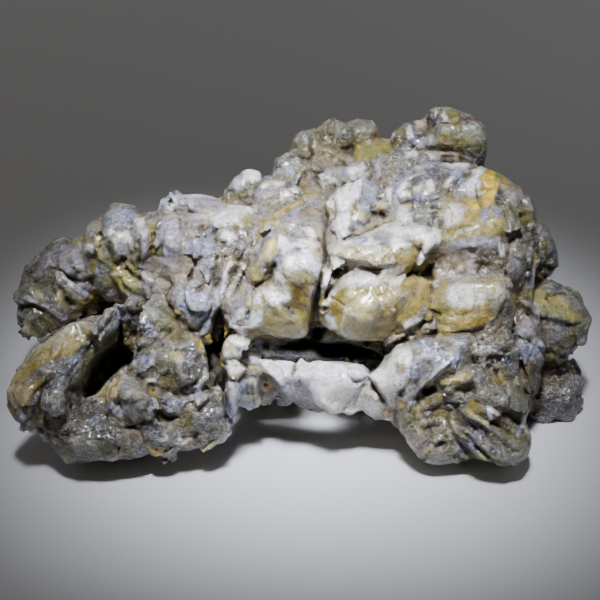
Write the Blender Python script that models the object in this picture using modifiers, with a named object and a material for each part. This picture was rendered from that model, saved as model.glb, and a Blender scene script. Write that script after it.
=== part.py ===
"""A desert viewing stone: one weathered block of chert and chalcedony that stands on five low pads.

The stone is the union of superellipsoid lumps, one for each knob, slab and fold of the real thing. A voxel
remesh fuses them into one skin. Hollows are cut out of it, and the feet are trimmed flat where it rests.
+X is the stone's right, +Y its back and +Z up. The origin is on the ground below the middle of its box.
"""

from collections import namedtuple
from math import radians

import bmesh
import bpy
from mathutils import Euler, Vector

MM = 0.001
# Every table below is in millimetres and degrees, measured from a point on the ground near the stone's
# middle. CENTRING carries them to the middle of the finished stone's box.
CENTRING = Vector((-1.0, -3.0, 0.0))
SKIN_VOXEL = 1.6
KEPT_SHARE_OF_FACES = 0.12
LUMP_SUBDIVISIONS = 3
GROUND_SLAB = Vector((300, 300, 40))
CHERT_COLOUR = (0.42, 0.38, 0.31, 1.0)
CHERT_ROUGHNESS = 0.45

# half: half sizes along the lump's own axes. turn: its XYZ rotation. power: 2 is an ellipsoid, 6 nearly a box.
Lump = namedtuple("Lump", "name centre half turn power")
CORE = [
    Lump("core_left", (-30, 6, 46), (36, 22, 13), (0, -4, 0), 3.0),
    Lump("core_middle", (6, 14, 50), (44, 27, 15), (0, -5, 0), 3.0),
    Lump("core_right", (46, 8, 48), (24, 24, 20), (0, 0, 0), 2.6),
    Lump("belly", (-4, 16, 24), (46, 22, 21), (0, 0, 0), 2.8),
    Lump("back_mass", (22, 32, 44), (37, 17, 22), (0, -8, 0), 2.8),
    Lump("back_left_mass", (-42, 26, 30), (30, 22, 19), (0, -6, 0), 2.6),
]
LEFT_FOOT = [
    Lump("outer_wall", (-71, -32, 29), (20, 6, 10), (0, -32, 43), 3.6),
    Lump("inner_wall", (-63, -32, 28), (21, 5, 12), (0, -36, 56), 3.6),
    Lump("front_block", (-60, -36, 12.5), (17, 13, 9), (0, 0, 0), 3.0),
    Lump("tan_block", (-51, -38, 22), (7, 8, 9), (0, 20, 20), 4.0),
    Lump("notch_block", (-38, -30, 31), (10, 10, 9), (0, 0, 0), 3.4),
    Lump("rough_low", (-41, -38, 15), (9, 10, 10), (0, 0, 0), 3.0),
    Lump("plate", (-30, -36, 16), (11, 10, 9), (0, -10, 0), 3.2),
    Lump("fin", (-21, -33, 19), (2.6, 7, 13), (0, 8, 0), 3.6),
    Lump("left_foot_back", (-50, -12, 17), (27, 20, 16), (0, 0, 0), 2.8),
    Lump("cheek", (-41, -17, 38), (14, 10, 8), (0, 10, 0), 3.0),
    Lump("blue_facet", (-30, -17, 43), (10, 9, 11), (0, 0, 0), 3.6),
]
LEFT_TOP = [
    Lump("back_left_upper", (-70, 16, 35), (16, 14, 10.5), (0, -10, 0), 3.0),
    Lump("back_left_lower", (-81, 8, 29), (10, 12, 9), (0, 0, 0), 3.0),
    Lump("back_left_under", (-74, 6, 20), (9, 12, 10), (0, 0, 0), 2.6),
    Lump("upper_block", (-55, 4, 50), (8, 11, 14), (0, 4, 0), 4.0),
    Lump("upper_block_side", (-61, 9, 48), (6, 9, 11), (0, 0, 0), 3.0),
    Lump("ribs", (-45, -2, 53), (7, 9, 12), (0, 0, 0), 3.0),
    Lump("pink_facet", (-35, -4, 52), (10, 11, 13), (0, 0, 0), 3.6),
    Lump("knob", (-39.5, 10, 63), (5, 5, 5), (0, 0, 0), 2.2),
    Lump("white_roll", (-29, 8, 62), (10, 5, 5.5), (0, 0, 0), 2.4),
    Lump("blue_roll", (-22, 4, 61), (13, 5, 4.5), (0, -8, 0), 2.4),
    Lump("strata_low", (-26, -10, 50), (9, 10, 14), (0, 25, 0), 3.0),
    Lump("strata_high", (-18, -4, 58), (9, 12, 8), (0, 20, 0), 3.0),
]
MIDDLE = [
    Lump("cream_left", (-9, -16, 45), (15, 14, 10), (0, 0, 0), 2.8),
    Lump("cream_ear", (-12, -12, 56), (4.5, 9, 13), (0, 32, 0), 3.0),
    Lump("white_facet", (0, -15, 52), (8, 12, 12), (0, 0, 0), 3.4),
    Lump("cream_right", (22, -16, 46), (15, 15, 12), (0, 0, 0), 2.6),
    Lump("cream_right_low", (31, -15, 43), (11, 13, 9), (0, -20, 0), 2.6),
    Lump("ledge", (26, -9, 60), (17, 12, 7), (0, -12, 0), 3.0),
    Lump("flat_left", (-3, 6, 60), (16, 15, 6), (0, -4, 0), 3.0),
    Lump("mid_ridge", (17, 4, 65), (8, 15, 7), (0, 0, -12), 2.8),
    Lump("mosaic", (38, 14, 65), (17, 15, 8), (0, -4, 0), 3.0),
]
BACK_TOP = [
    Lump("back_step_left", (-16, 22, 62), (7.5, 7, 7), (0, 0, 0), 2.4),
    Lump("back_step_front", (-7, 18, 62), (8, 7, 6), (0, 0, 0), 2.6),
    Lump("back_step_high", (-1, 30, 65), (9, 9, 7), (0, 0, 0), 2.6),
    Lump("back_knob_left", (2, 42, 68), (6, 7, 8), (0, 0, 0), 2.4),
    Lump("back_knob_middle", (10, 45, 70), (7, 7, 8), (0, 0, 0), 2.4),
    Lump("back_knob_right", (19.5, 45, 70), (6.5, 7, 8.5), (0, 0, 0), 2.4),
    Lump("back_yellow", (26, 39, 66), (9, 8, 7), (0, 0, 0), 3.0),
    Lump("back_bed", (12, 36, 60), (18, 12, 9), (0, 0, 0), 3.0),
    Lump("saddle", (33, 29, 67), (12, 11, 7), (0, 0, 0), 2.8),
    Lump("peak", (47, 42, 73), (8, 9, 9), (0, 0, 0), 3.0),
    Lump("peak_left", (37, 41, 71), (8, 8, 7), (0, 0, 0), 2.6),
    Lump("peak_right", (53, 40, 69), (7.5, 9, 11), (0, 0, 0), 3.0),
    Lump("shoulder", (57, 14, 61), (12, 14, 12), (0, 10, 0), 2.6),
    Lump("shoulder_right", (63, 12, 52), (11, 14, 14), (0, 0, 0), 2.8),
]
RIGHT = [
    Lump("yellow_face", (51, -2, 58), (15, 12, 11), (0, 0, 0), 2.6),
    Lump("rough_patch", (51, -8, 51), (13, 10, 7), (0, 0, 0), 3.0),
    Lump("cream_block", (51, -16, 44), (12, 10, 9), (0, 0, 0), 4.0),
    Lump("right_side", (64, -2, 48), (7, 10, 14), (0, 0, 0), 3.0),
    Lump("far_small", (76, 20, 43), (6, 8, 9), (0, 0, 0), 2.6),
    Lump("far_lump", (78, 4, 25), (13, 13, 13), (0, 10, 0), 2.8),
    Lump("far_neck", (63, 10, 32), (11, 12, 14), (0, 0, 0), 2.6),
    Lump("back_foot", (82, -3, 6), (11, 13, 8), (0, 0, 0), 2.8),
    Lump("right_foot", (50, -31, 18), (16, 14, 17), (0, 0, 0), 2.8),
    Lump("white_block", (31, -32, 30), (6, 7, 10), (0, 35, 0), 3.4),
    Lump("grey_fold", (41, -30, 34), (10, 9, 8), (0, 0, 0), 3.0),
    Lump("grey_fold_right", (55, -26, 32), (9, 9, 9), (0, 0, 0), 3.0),
    Lump("ridged_toe", (57, -37, 12), (12, 11, 9), (0, 30, 0), 3.0),
    Lump("white_toe", (42, -37, 12), (10, 10, 8), (0, 0, 0), 2.8),
    Lump("toe_left", (37, -33, 17), (9, 9, 9), (0, 0, 0), 2.8),
    Lump("rough_band", (65, -17, 20), (6, 10, 16), (0, 0, 0), 2.8),
    Lump("right_foot_back", (56, -6, 20), (20, 20, 20), (0, 0, 0), 2.8),
]
BRIDGE = [
    Lump("bridge_left", (-15, -27, 33), (10, 6, 6), (0, 10, 0), 3.0),
    Lump("bridge_left_low", (-15, -28, 25), (8, 6, 7.5), (0, 0, 0), 3.0),
    Lump("bridge_plate", (0, -29, 29), (13, 5, 7.5), (0, 10, 0), 3.0),
    Lump("bridge_rib", (-3, -27, 19), (14, 4, 4.5), (0, 12, 0), 2.8),
    Lump("bridge_thick", (13, -31, 25), (10, 6, 9), (0, 0, 0), 2.8),
    Lump("bridge_right", (22, -30, 27), (6, 6, 6), (0, 0, 0), 2.6),
    Lump("bridge_joint", (26, -31, 22), (7, 6, 8), (0, 0, 0), 2.8),
]
HEELS = [
    Lump("left_heel", (-50, -25, 7), (15, 11, 8.5), (0, 0, 0), 3.0),
    Lump("right_heel", (50, -24, 7), (13, 11, 8.5), (0, 0, 0), 3.0),
]
REAR = [
    Lump("rear_left_foot", (-50, 32, 12), (17, 14, 14), (0, 0, 12), 3.0),
    Lump("rear_left_knee", (-33, 38, 22), (13, 11, 15), (0, 12, 0), 3.2),
    Lump("rear_left_slab", (-60, 24, 25), (13, 13, 12), (0, -14, 0), 3.4),
    Lump("rear_left_shelf", (-29, 34, 39), (18, 12, 8), (0, -8, 0), 3.2),
    Lump("rear_middle", (-8, 38, 30), (16, 13, 20), (0, 0, 0), 3.0),
    Lump("rear_middle_low", (3, 44, 16), (15, 9, 10), (0, 10, 0), 3.0),
    Lump("rear_rib", (10, 47, 40), (8, 7, 18), (0, 14, 0), 3.2),
    Lump("rear_ledge", (25, 47, 29), (13, 8, 10), (0, -10, 0), 3.0),
    Lump("rear_right_foot", (42, 38, 12), (17, 14, 14), (0, 0, -10), 3.0),
    Lump("rear_right_knee", (50, 36, 38), (14, 13, 17), (0, 8, 0), 3.0),
    Lump("rear_right_slab", (31, 43, 50), (12, 9, 13), (0, -12, 0), 3.4),
    Lump("rear_right_corner", (62, 26, 28), (11, 12, 15), (0, 0, 20), 3.2),
]
LUMPS = CORE + LEFT_FOOT + LEFT_TOP + MIDDLE + BACK_TOP + RIGHT + BRIDGE + HEELS + REAR

# The cavity in the left foot, the recess under the bridge and the slot between the bridge and the body.
HOLLOWS = [
    Lump("left_cavity", (-56, -31, 35), (20, 4, 11), (0, -36, 56), 3.0),
    Lump("alcove", (2, -16, 17), (25, 9, 19), (0, 0, 0), 4.0),
    Lump("slot", (3, -23, 35), (22, 13, 3.3), (0, 0, 0), 5.0),
]


def superellipsoid(mesh, lump):
    """Adds one lump to a bmesh: an icosphere pushed out to the superellipsoid's surface."""
    made = bmesh.ops.create_icosphere(mesh, subdivisions=LUMP_SUBDIVISIONS, radius=1.0)
    turn = Euler([radians(angle) for angle in lump.turn]).to_matrix()
    for vertex in made["verts"]:
        across = [abs(along / half) for along, half in zip(vertex.co, lump.half)]
        reach = sum(share**lump.power for share in across) ** (-1.0 / lump.power)
        vertex.co = (Vector(lump.centre) + CENTRING + turn @ (vertex.co * reach)) * MM


def link_mesh(name, work, collection):
    """Turns a bmesh into an object in the collection."""
    mesh = bpy.data.meshes.new(name)
    work.to_mesh(mesh)
    work.free()
    made = bpy.data.objects.new(name, mesh)
    collection.objects.link(made)
    return made


def lumps_object(name, lumps, collection):
    """One object that holds all of these lumps, still as overlapping shells."""
    work = bmesh.new()
    for lump in lumps:
        superellipsoid(work, lump)
    return link_mesh(name, work, collection)


def ground_object(collection):
    """A slab whose top face is the ground plane."""
    work = bmesh.new()
    bmesh.ops.create_cube(work, size=1.0)
    bmesh.ops.scale(work, vec=GROUND_SLAB * MM, verts=work.verts)
    bmesh.ops.translate(work, vec=(0.0, 0.0, -GROUND_SLAB.z / 2 * MM), verts=work.verts)
    return link_mesh("ground", work, collection)


def mark_as_cutter(helper):
    helper.hide_render = True
    helper.display_type = "WIRE"


def fuse(target, name):
    """Remeshes overlapping shells into one skin of even quads."""
    remesh = target.modifiers.new(name, "REMESH")
    remesh.mode = "VOXEL"
    remesh.voxel_size = SKIN_VOXEL * MM


def cut(target, name, cutter):
    difference = target.modifiers.new(name, "BOOLEAN")
    difference.operation = "DIFFERENCE"
    difference.object = cutter


def chert():
    """Grey-tan chert with a waxy, half-polished skin."""
    made = bpy.data.materials.new("chert")
    made.use_nodes = True
    shader = made.node_tree.nodes["Principled BSDF"]
    shader.inputs["Base Color"].default_value = CHERT_COLOUR
    shader.inputs["Roughness"].default_value = CHERT_ROUGHNESS
    shader.inputs["Metallic"].default_value = 0.0
    return made


def main():
    for old in list(bpy.data.objects):
        bpy.data.objects.remove(old)
    parts = bpy.data.collections.new("desert_viewing_stone")
    cutters = bpy.data.collections.new("cutters")
    for made in (parts, cutters):
        bpy.context.scene.collection.children.link(made)

    hollows = lumps_object("hollows", HOLLOWS, cutters)
    fuse(hollows, "join_hollows")
    ground = ground_object(cutters)
    for helper in (hollows, ground):
        mark_as_cutter(helper)

    stone = lumps_object("stone", LUMPS, parts)
    stone.data.materials.append(chert())
    fuse(stone, "join_lumps")
    cut(stone, "cut_hollows", hollows)
    fuse(stone, "even_skin")
    thin = stone.modifiers.new("thin_skin", "DECIMATE")
    thin.ratio = KEPT_SHARE_OF_FACES
    cut(stone, "trim_feet", ground)


main()
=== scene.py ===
"""The desert viewing stone's looks: its craggy skin, its minerals and a plain studio round it.

The stone's skin is the zero level of a distance field on a grid. The field joins the lumps that the CAD
solid is made of, three of them squarer here, cuts hollows and drawn detail into them, and breaks the result
up with facets, bedding, grain and crumbs. Its minerals are painted by masks on the vertices, which the
material's nodes turn into mottled patches, veins, stains, grime and painted shade in the hollows, and
painted highlights where the rock stands out. Some drawn patches and the umber mineral add painted shade.
"""

from collections import namedtuple
from math import cos, radians, sin

import bpy
import numpy as np
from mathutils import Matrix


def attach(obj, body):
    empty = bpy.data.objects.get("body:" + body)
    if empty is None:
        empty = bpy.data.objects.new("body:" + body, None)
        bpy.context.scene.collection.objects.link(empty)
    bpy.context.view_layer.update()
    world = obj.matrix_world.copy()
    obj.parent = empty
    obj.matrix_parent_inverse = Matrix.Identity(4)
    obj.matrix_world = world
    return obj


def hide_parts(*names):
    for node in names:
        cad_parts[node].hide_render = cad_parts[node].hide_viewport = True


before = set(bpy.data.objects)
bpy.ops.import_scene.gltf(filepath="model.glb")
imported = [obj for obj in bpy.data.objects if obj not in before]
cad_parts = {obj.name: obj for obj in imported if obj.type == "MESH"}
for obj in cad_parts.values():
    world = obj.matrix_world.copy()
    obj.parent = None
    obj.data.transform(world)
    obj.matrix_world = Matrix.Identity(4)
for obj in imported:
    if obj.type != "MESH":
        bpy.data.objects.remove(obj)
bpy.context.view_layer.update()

import openvdb
from mathutils import Euler, Vector

MM = 0.001
# Lengths are in mm and angles in degrees, as in the CAD. CENTRING carries them to the stone's frame.
CENTRING = np.array([-1.0, -3.0, 0.0], np.float32)

# The field's grid: its step and corners, its value far from the stone, how deep the skin is broken up, and
# the most that the field counts for where it is meshed and where pits are cut.
GRID_STEP = 0.6
GRID_LOW = (-97, -55, -3)
GRID_HIGH = (97, 60, 88)
FAR = 40.0
BAND = 5.0
FIELD_LIMIT = 3.0

# The camera looks down on the stone's front from straight ahead, at a point over its footprint's middle.
CAMERA_DISTANCE = 480.0
CAMERA_ELEVATION = 30.0
FOCUS = (0.0, 0.0, 36.0)
CAMERA_LENS = 92.16
SENSOR_WIDTH = 36.0
CLIP_START = 10.0

# The most triangles the skin keeps, the share that the first thinning keeps where the front doesn't show,
# and the bend between faces that is shaded sharp.
MOST_TRIANGLES = 196000
REAR_KEPT = 0.16
SHARP_ANGLE = 42.0

# Each lump is chipped with random flat faces: how many, how deep as a share of its size, how soft their
# edges are on broken rock, and how much softer they get on waxy skin.
CHISEL_FACES = 22
CHISEL_DEPTH = 0.26
CHISEL_EDGE = 0.4
CHISEL_SOFTNESS = 2.0
# The share of chips and creases that waxy skin takes, where broken rock takes them all.
WAXY_SHARE = 0.35
# How far round a lump it counts, how far it melts into others, and how softly minerals meet.
LUMP_REACH = 5.0
LUMP_MELT = 2.0
MINERAL_BLEND = 0.9
MINERAL_LIMIT = 8.0
ROUGH_LIMIT = 6.0
LEAST_WEIGHT = 1e-6
# The crease where two lumps meet.
CREASE_DEPTH = 0.5
CREASE_WIDTH = 0.7
# Added to a place's share of a lump's size, so that nothing is divided by 0 at the middle.
LEAST_SHARE = 1e-4
# Noise bends the lumps, the facets and the beds. Each has a size, a reach and its first seed.
LUMP_WARP = [(16.0, 1.2, 21), (6.0, 0.6, 24)]
FACET_WARP = [(4.0, 0.9, 32)]
BED_SIZE = 7.0
BED_SEED = 31
NOISE_GAIN = 1.35
# How many more knots the noise's lattice has than the grid's length takes, and how far before the end of
# the grid or the picture reading stops.
SPARE_KNOTS = 4
LAST_POINT = 1.001
LAST_PIXEL = 1.01
# What is thinner than twice this many grid steps comes off.
FIN_STEPS = 1

# A bedded part: its middle and reach, the beds' normal and thickness, and how deep their ledges are.
Bed = namedtuple("Bed", "centre radius normal spacing depth wander seed")
BEDDING = [
    Bed((-22, -14, 52), 22, (0.85, 0.1, -0.5), 2.2, 0.5, 1.2, 41),
    Bed((57, -40, 13), 15, (-0.55, -0.2, -0.8), 3.2, 0.9, 1.5, 42),
    Bed((-68, -36, 27), 26, (-0.6, 0.55, -0.6), 3.6, 0.6, 1.5, 43),
    Bed((66, -17, 22), 18, (1.0, -0.3, 0.25), 2.4, 0.7, 1.5, 44),
    Bed((80, 4, 26), 18, (0.35, -0.4, 0.9), 3.8, 0.6, 2.0, 45),
]
# Where a bedded part fades out, as a share of its reach. A bed ends in a ledge and a seam, as shares of it.
BED_FADE = (0.6, 1.0)
BED_COUNT = 512
LEDGE = (0.75, 1.0)
SEAM_PLACE = 0.9
SEAM_WIDTH = 0.12
SEAM_DEPTH = 0.8

# Facets: the cells' size, how far their planes tilt and differ in height, the width of their seams, their
# share on waxy skin, and the cracks along some of their borders.
Facet = namedtuple("Facet", "size slope step seam smooth crack_share crack_width crack_depth seed")
FACETS = [
    Facet(12.0, 0.22, 1.6, 1.2, 0.30, 0.30, 0.5, 1.3, 51),
    Facet(5.5, 0.26, 0.9, 0.6, 0.10, 0.25, 0.4, 0.9, 52),
    Facet(2.6, 0.22, 0.36, 0.4, 0.05, 0.20, 0.4, 0.4, 53),
]
# Grain: size, depth, share on waxy skin, seed.
GRAIN = [(5.0, 0.30, 0.6, 61), (2.2, 0.12, 0.25, 62), (1.3, 0.08, 0.15, 63)]

# Crumbs sit on rock this rough, from the first number on, and all of them from the second on. A crumb is
# between two shares of its kind's radius, has its own share along each axis, and is turned about z by up to
# half of its turn either way.
Crumb = namedtuple("Crumb", "spacing radius share seed")
CRUMBS = [Crumb(3.4, 0.8, 0.22, 71), Crumb(2.2, 0.55, 0.2, 72)]
CRUMB_ROUGH = (0.45, 0.9)
CRUMB_SIZES = (0.8, 1.6)
CRUMB_HALF = (1.0, 0.8, 0.9)
CRUMB_TURN = 90.0
CRUMB_POWER = 2.6
CRUMB_BLEND = 0.5
CRUMB_REACH = 1.0

# Spots of other minerals lie in the lumps: the cells' size, how many have one, and how soft its edge is.
SPOT_SIZE = 7.0
SPOT_SHARE = 0.6
SPOT_FADE = 1.5
SPOT_SEED = 91
SPOTS = ["cream", "grey", "pink", "ochre", "slate", "white", "olive", "blue", "tan", "lime"]
# How far round a point the rock is looked at, to find narrow and wide hollows.
NEAR_HOLLOW = 1.2
FAR_HOLLOW = 5.0

# The drawing is a square of this many pixels, and this many make a cell of the map of what hides what.
PICTURE = 600
DEPTH_CELL = 3
UNSEEN = 1e4
# A patch's soft edge and its mineral's fade, in pixels, the share of its drawn height that it takes, and
# how far its lean goes on past its size.
PATCH_EDGE = 1.1
PATCH_FADE = 9.0
PATCH_CORE = 0.9
PATCH_DEPTH = 0.55
LEAN_LIMIT = 1.2
# A groove's share of its drawn depth and half its share of its drawn width, its soft edge and how far it
# stains the rock, in pixels.
GROOVE_DEPTH = 0.55
GROOVE_HALF = 0.4
GROOVE_EDGE = 1.1
CRACK_REACH = 6.0
# A step is drawn this many widths out. Lines fade in and out over this part of their length.
STEP_REACH = 4.0
LINE_ENDS = (-0.12, 0.16)
# A pit's wall is this many pixels wide, and it is cut where it is deeper than this many mm.
PIT_WALL = 4.0
PIT_LEAST = 0.5
# How far past an outline or a line its effect is worked out, in pixels.
OUTLINE_MARGIN = 8
LINE_MARGIN = 3
# What is within this many grid steps of the skin hides what is behind it.
SKIN_STEPS = 0.6
# The drawing reaches this far into the stone, and fades out where other rock hides the skin this far.
FRONT_BAND = 14.0
FRONT_REACH = 4.0
FRONT_FADE = 8.0
PAINT_FADE = (3.0, 5.0)
# How much of the lumps' warp bends the drawing.
FRONT_WARP = 0.5
PAINT_WARP = 0.8

# A mineral's colours, dark, middle and light, its blotches' size, its roughness to light, how coarse it
# looks, from 0 for smooth waxy chert to 1 for broken rock full of veins, grit and glittering crystal faces,
# and how rough it breaks.
Look = namedtuple("Look", "dark middle light size gloss coarse breaks")
MINERALS = {
    "grey": Look((0.042, 0.039, 0.027), (0.098, 0.092, 0.067), (0.225, 0.216, 0.175), 2.6, 0.36, 0.8, 0.8),
    "cream": Look((0.105, 0.07, 0.006), (0.255, 0.195, 0.024), (0.6, 0.53, 0.17), 7, 0.24, 0.12, 0.15),
    "white": Look((0.4, 0.36, 0.27), (0.86, 0.85, 0.83), (0.985, 0.985, 0.985), 4.5, 0.22, 0.15, 0.2),
    "ochre": Look((0.115, 0.074, 0.006), (0.28, 0.202, 0.022), (0.48, 0.385, 0.075), 4, 0.32, 0.35, 0.4),
    "olive": Look((0.026, 0.024, 0.006), (0.072, 0.066, 0.018), (0.165, 0.155, 0.06), 3.5, 0.32, 0.5, 0.55),
    "rust": Look((0.037, 0.018, 0.007), (0.085, 0.045, 0.017), (0.169, 0.104, 0.045), 3, 0.4, 0.6, 0.5),
    "blue": Look((0.074, 0.08, 0.117), (0.2, 0.215, 0.3), (0.398, 0.428, 0.552), 3, 0.26, 0.4, 0.4),
    "pink": Look((0.125, 0.11, 0.118), (0.255, 0.232, 0.262), (0.46, 0.44, 0.5), 5, 0.26, 0.3, 0.3),
    "gold": Look((0.405, 0.239, 0.002), (0.74, 0.51, 0.01), (0.852, 0.667, 0.052), 3, 0.3, 0.25, 0.3),
    "tan": Look((0.055, 0.045, 0.026), (0.135, 0.115, 0.074), (0.275, 0.248, 0.182), 3, 0.38, 0.6, 0.5),
    "ink": Look((0.009, 0.01, 0.017), (0.022, 0.025, 0.042), (0.075, 0.082, 0.125), 2.5, 0.22, 0.4, 0.5),
    "lime": Look((0.095, 0.087, 0.012), (0.215, 0.2, 0.034), (0.38, 0.36, 0.09), 4, 0.32, 0.25, 0.4),
    "peach": Look((0.379, 0.213, 0.09), (0.62, 0.4, 0.2), (0.745, 0.548, 0.341), 3, 0.31, 0.3, 0.3),
    "amber": Look((0.108, 0.055, 0.004), (0.22, 0.13, 0.01), (0.362, 0.254, 0.036), 3, 0.28, 0.3, 0.3),
    "slate": Look((0.024, 0.024, 0.03), (0.06, 0.06, 0.072), (0.153, 0.153, 0.181), 2, 0.28, 0.8, 0.6),
    # Umber also stands for painted shade on rock in shadow under the bridge and at the rear foot.
    "umber": Look((0.018, 0.015, 0.009), (0.042, 0.036, 0.024), (0.1, 0.087, 0.062), 2.5, 0.4, 0.7, 0.6),
}
# Each vertex colour holds three minerals. The first mineral is the ground that the others lie on.
NAMES = list(MINERALS)
GROUND = MINERALS[NAMES[0]]
MASKS = [NAMES[first : first + 3] for first in range(1, len(NAMES), 3)]

# Dark brown of grime and painted shade, which the hollows take.
DIRT = (0.040, 0.031, 0.020)
CRACK_STAIN = (0.045, 0.034, 0.022)
VEIN_DARK = (0.060, 0.060, 0.072)
# The pale of the veins and grit, which also lightens standing edges as a painted highlight.
VEIN_PALE = (0.74, 0.73, 0.74)
# Amber painted shade that clear chert takes in its hollows.
AMBER = (0.30, 0.205, 0.045)
# Milk-white painted highlight on clear chert that stands out.
MILK = (0.88, 0.88, 0.92)
STRAW = (1.0, 0.95, 0.72)
LAVENDER = (0.92, 0.92, 1.20)
# The material's noises: blobs' size, detail, roughness and twist.
RAGGED_NOISE = (3.2, 7.0, 0.72, 0.6)
TINT_NOISE = (6.5, 6.0, 0.62, 0.8)
DARK_VEINS = (4.5, 5.0, 0.6, 1.2)
PALE_VEINS = (3.1, 5.0, 0.6, 1.0)
VEIN_SQUEEZE = (1.0, 1.0, 1.6)
GRIT_NOISE = (0.55, 4.0, 0.65)
WAVE_NOISE = (2.4, 5.0, 0.6, 0.4)
CRYSTAL_SIZE = 1.3
# How far a vein reaches either way in its noise's values, and the share of that at full strength.
DARK_VEIN_WIDTH = 0.016
PALE_VEIN_WIDTH = 0.022
VEIN_CORE = 0.3
# How strongly a layer shows on smooth chert and on coarse rock.
TINT_SHARE = (0.40, 0.95)
DARK_VEIN_SHARE = (0.45, 0.6)
PALE_VEIN_SHARE = 0.55
DARK_GRIT_SHARE = (0.10, 0.32)
PALE_GRIT_SHARE = (0.22, 0.30)
# How strongly the amber painted shade and the milk-white painted highlight show on clear chert.
AMBER_SHARE = 0.72
MILK_SHARE = 0.28
# How much grime and painted shade narrow hollows take, and the roughness that grime gives them.
DIRT_SHARE = 0.65
DIRT_GLOSS = 0.6
# The values that a layer sets in and is full at, and for some how much shows there.
MASK_STEP = (0.10, 0.90)
# Where the amber painted shade and the milk-white painted highlight set in and are full.
AMBER_STEP = (0.40, 0.62)
MILK_STEP = (0.44, 0.24)
TINT_STEP = (0.42, 0.58)
DARK_GRIT_STEP = (0.42, 0.30)
PALE_GRIT_STEP = (0.60, 0.72)
# Where grime and painted shade set in, in narrow and then in wide hollows.
DIRT_STEP = (0.54, 0.70)
DEEP_STEP = (0.60, 0.80, 0.0, 0.80)
# Where standing edges start to be lightened as a painted highlight.
EDGE_STEP = (0.44, 0.34, 0.0, 0.30)
CRACK_STEP = (0.88, 1.06, 0.0, 0.55)
# Blotches of a mineral: their noise's detail, its roughness on smooth chert and how much more it has on
# coarse rock, its twist, and where the middle and the light colour set in.
BLOTCH_DETAIL = 7.0
BLOTCH_ROUGH = 0.54
BLOTCH_ROUGHER = 0.22
BLOTCH_TWIST = 0.8
MIDDLE_STEP = (0.30, 0.48)
LIGHT_STEP = (0.44, 0.70)
# How much ragged noise frays the edges of the layers.
MASK_FRAY = 1.5
GLOW_FRAY = 0.35
DIRT_FRAY = 0.20
DEEP_FRAY = 0.25
CRACK_FRAY = 0.6
# Bumps, in mm, and the least share of the grit's that smooth chert has.
WAVE_BUMP = 0.45
CRYSTAL_BUMP = 0.35
VEIN_BUMP = 0.25
GRIT_BUMP = 0.25
GRIT_ON_CHERT = 0.5
COAT = 0.5
COAT_ROUGHNESS = 0.15

# Area lights in metres, watts and degrees.
Light = namedtuple("Light", "name place target size watts colour spread")
LIGHTS = [
    Light("key", (-0.01, -0.16, 0.52), (0.003, -0.010, 0.040), 0.12, 0.185, (0.89, 0.92, 1.0), 18),
    Light("fill", (-0.7, -0.5, 0.6), (0, 0, 0.04), 0.5, 0.31, (1.0, 0.95, 0.84), 180),
    Light("rim", (0.5, 0.5, 0.6), (0, 0, 0.04), 0.3, 0.65, (1.0, 1.0, 1.0), 180),
    Light("back", (-0.4, 0.8, 0.4), (0, 0, 0.03), 0.6, 0.42, (1.0, 0.97, 0.92), 180),
]
WORLD_COLOUR = (0.88, 0.86, 0.80)
WORLD_STRENGTH = 0.065
# The floor, in metres.
FLOOR_REACH = 3.0
FLOOR_COLOUR = (0.62, 0.62, 0.64)
FLOOR_ROUGHNESS = 0.8

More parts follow.
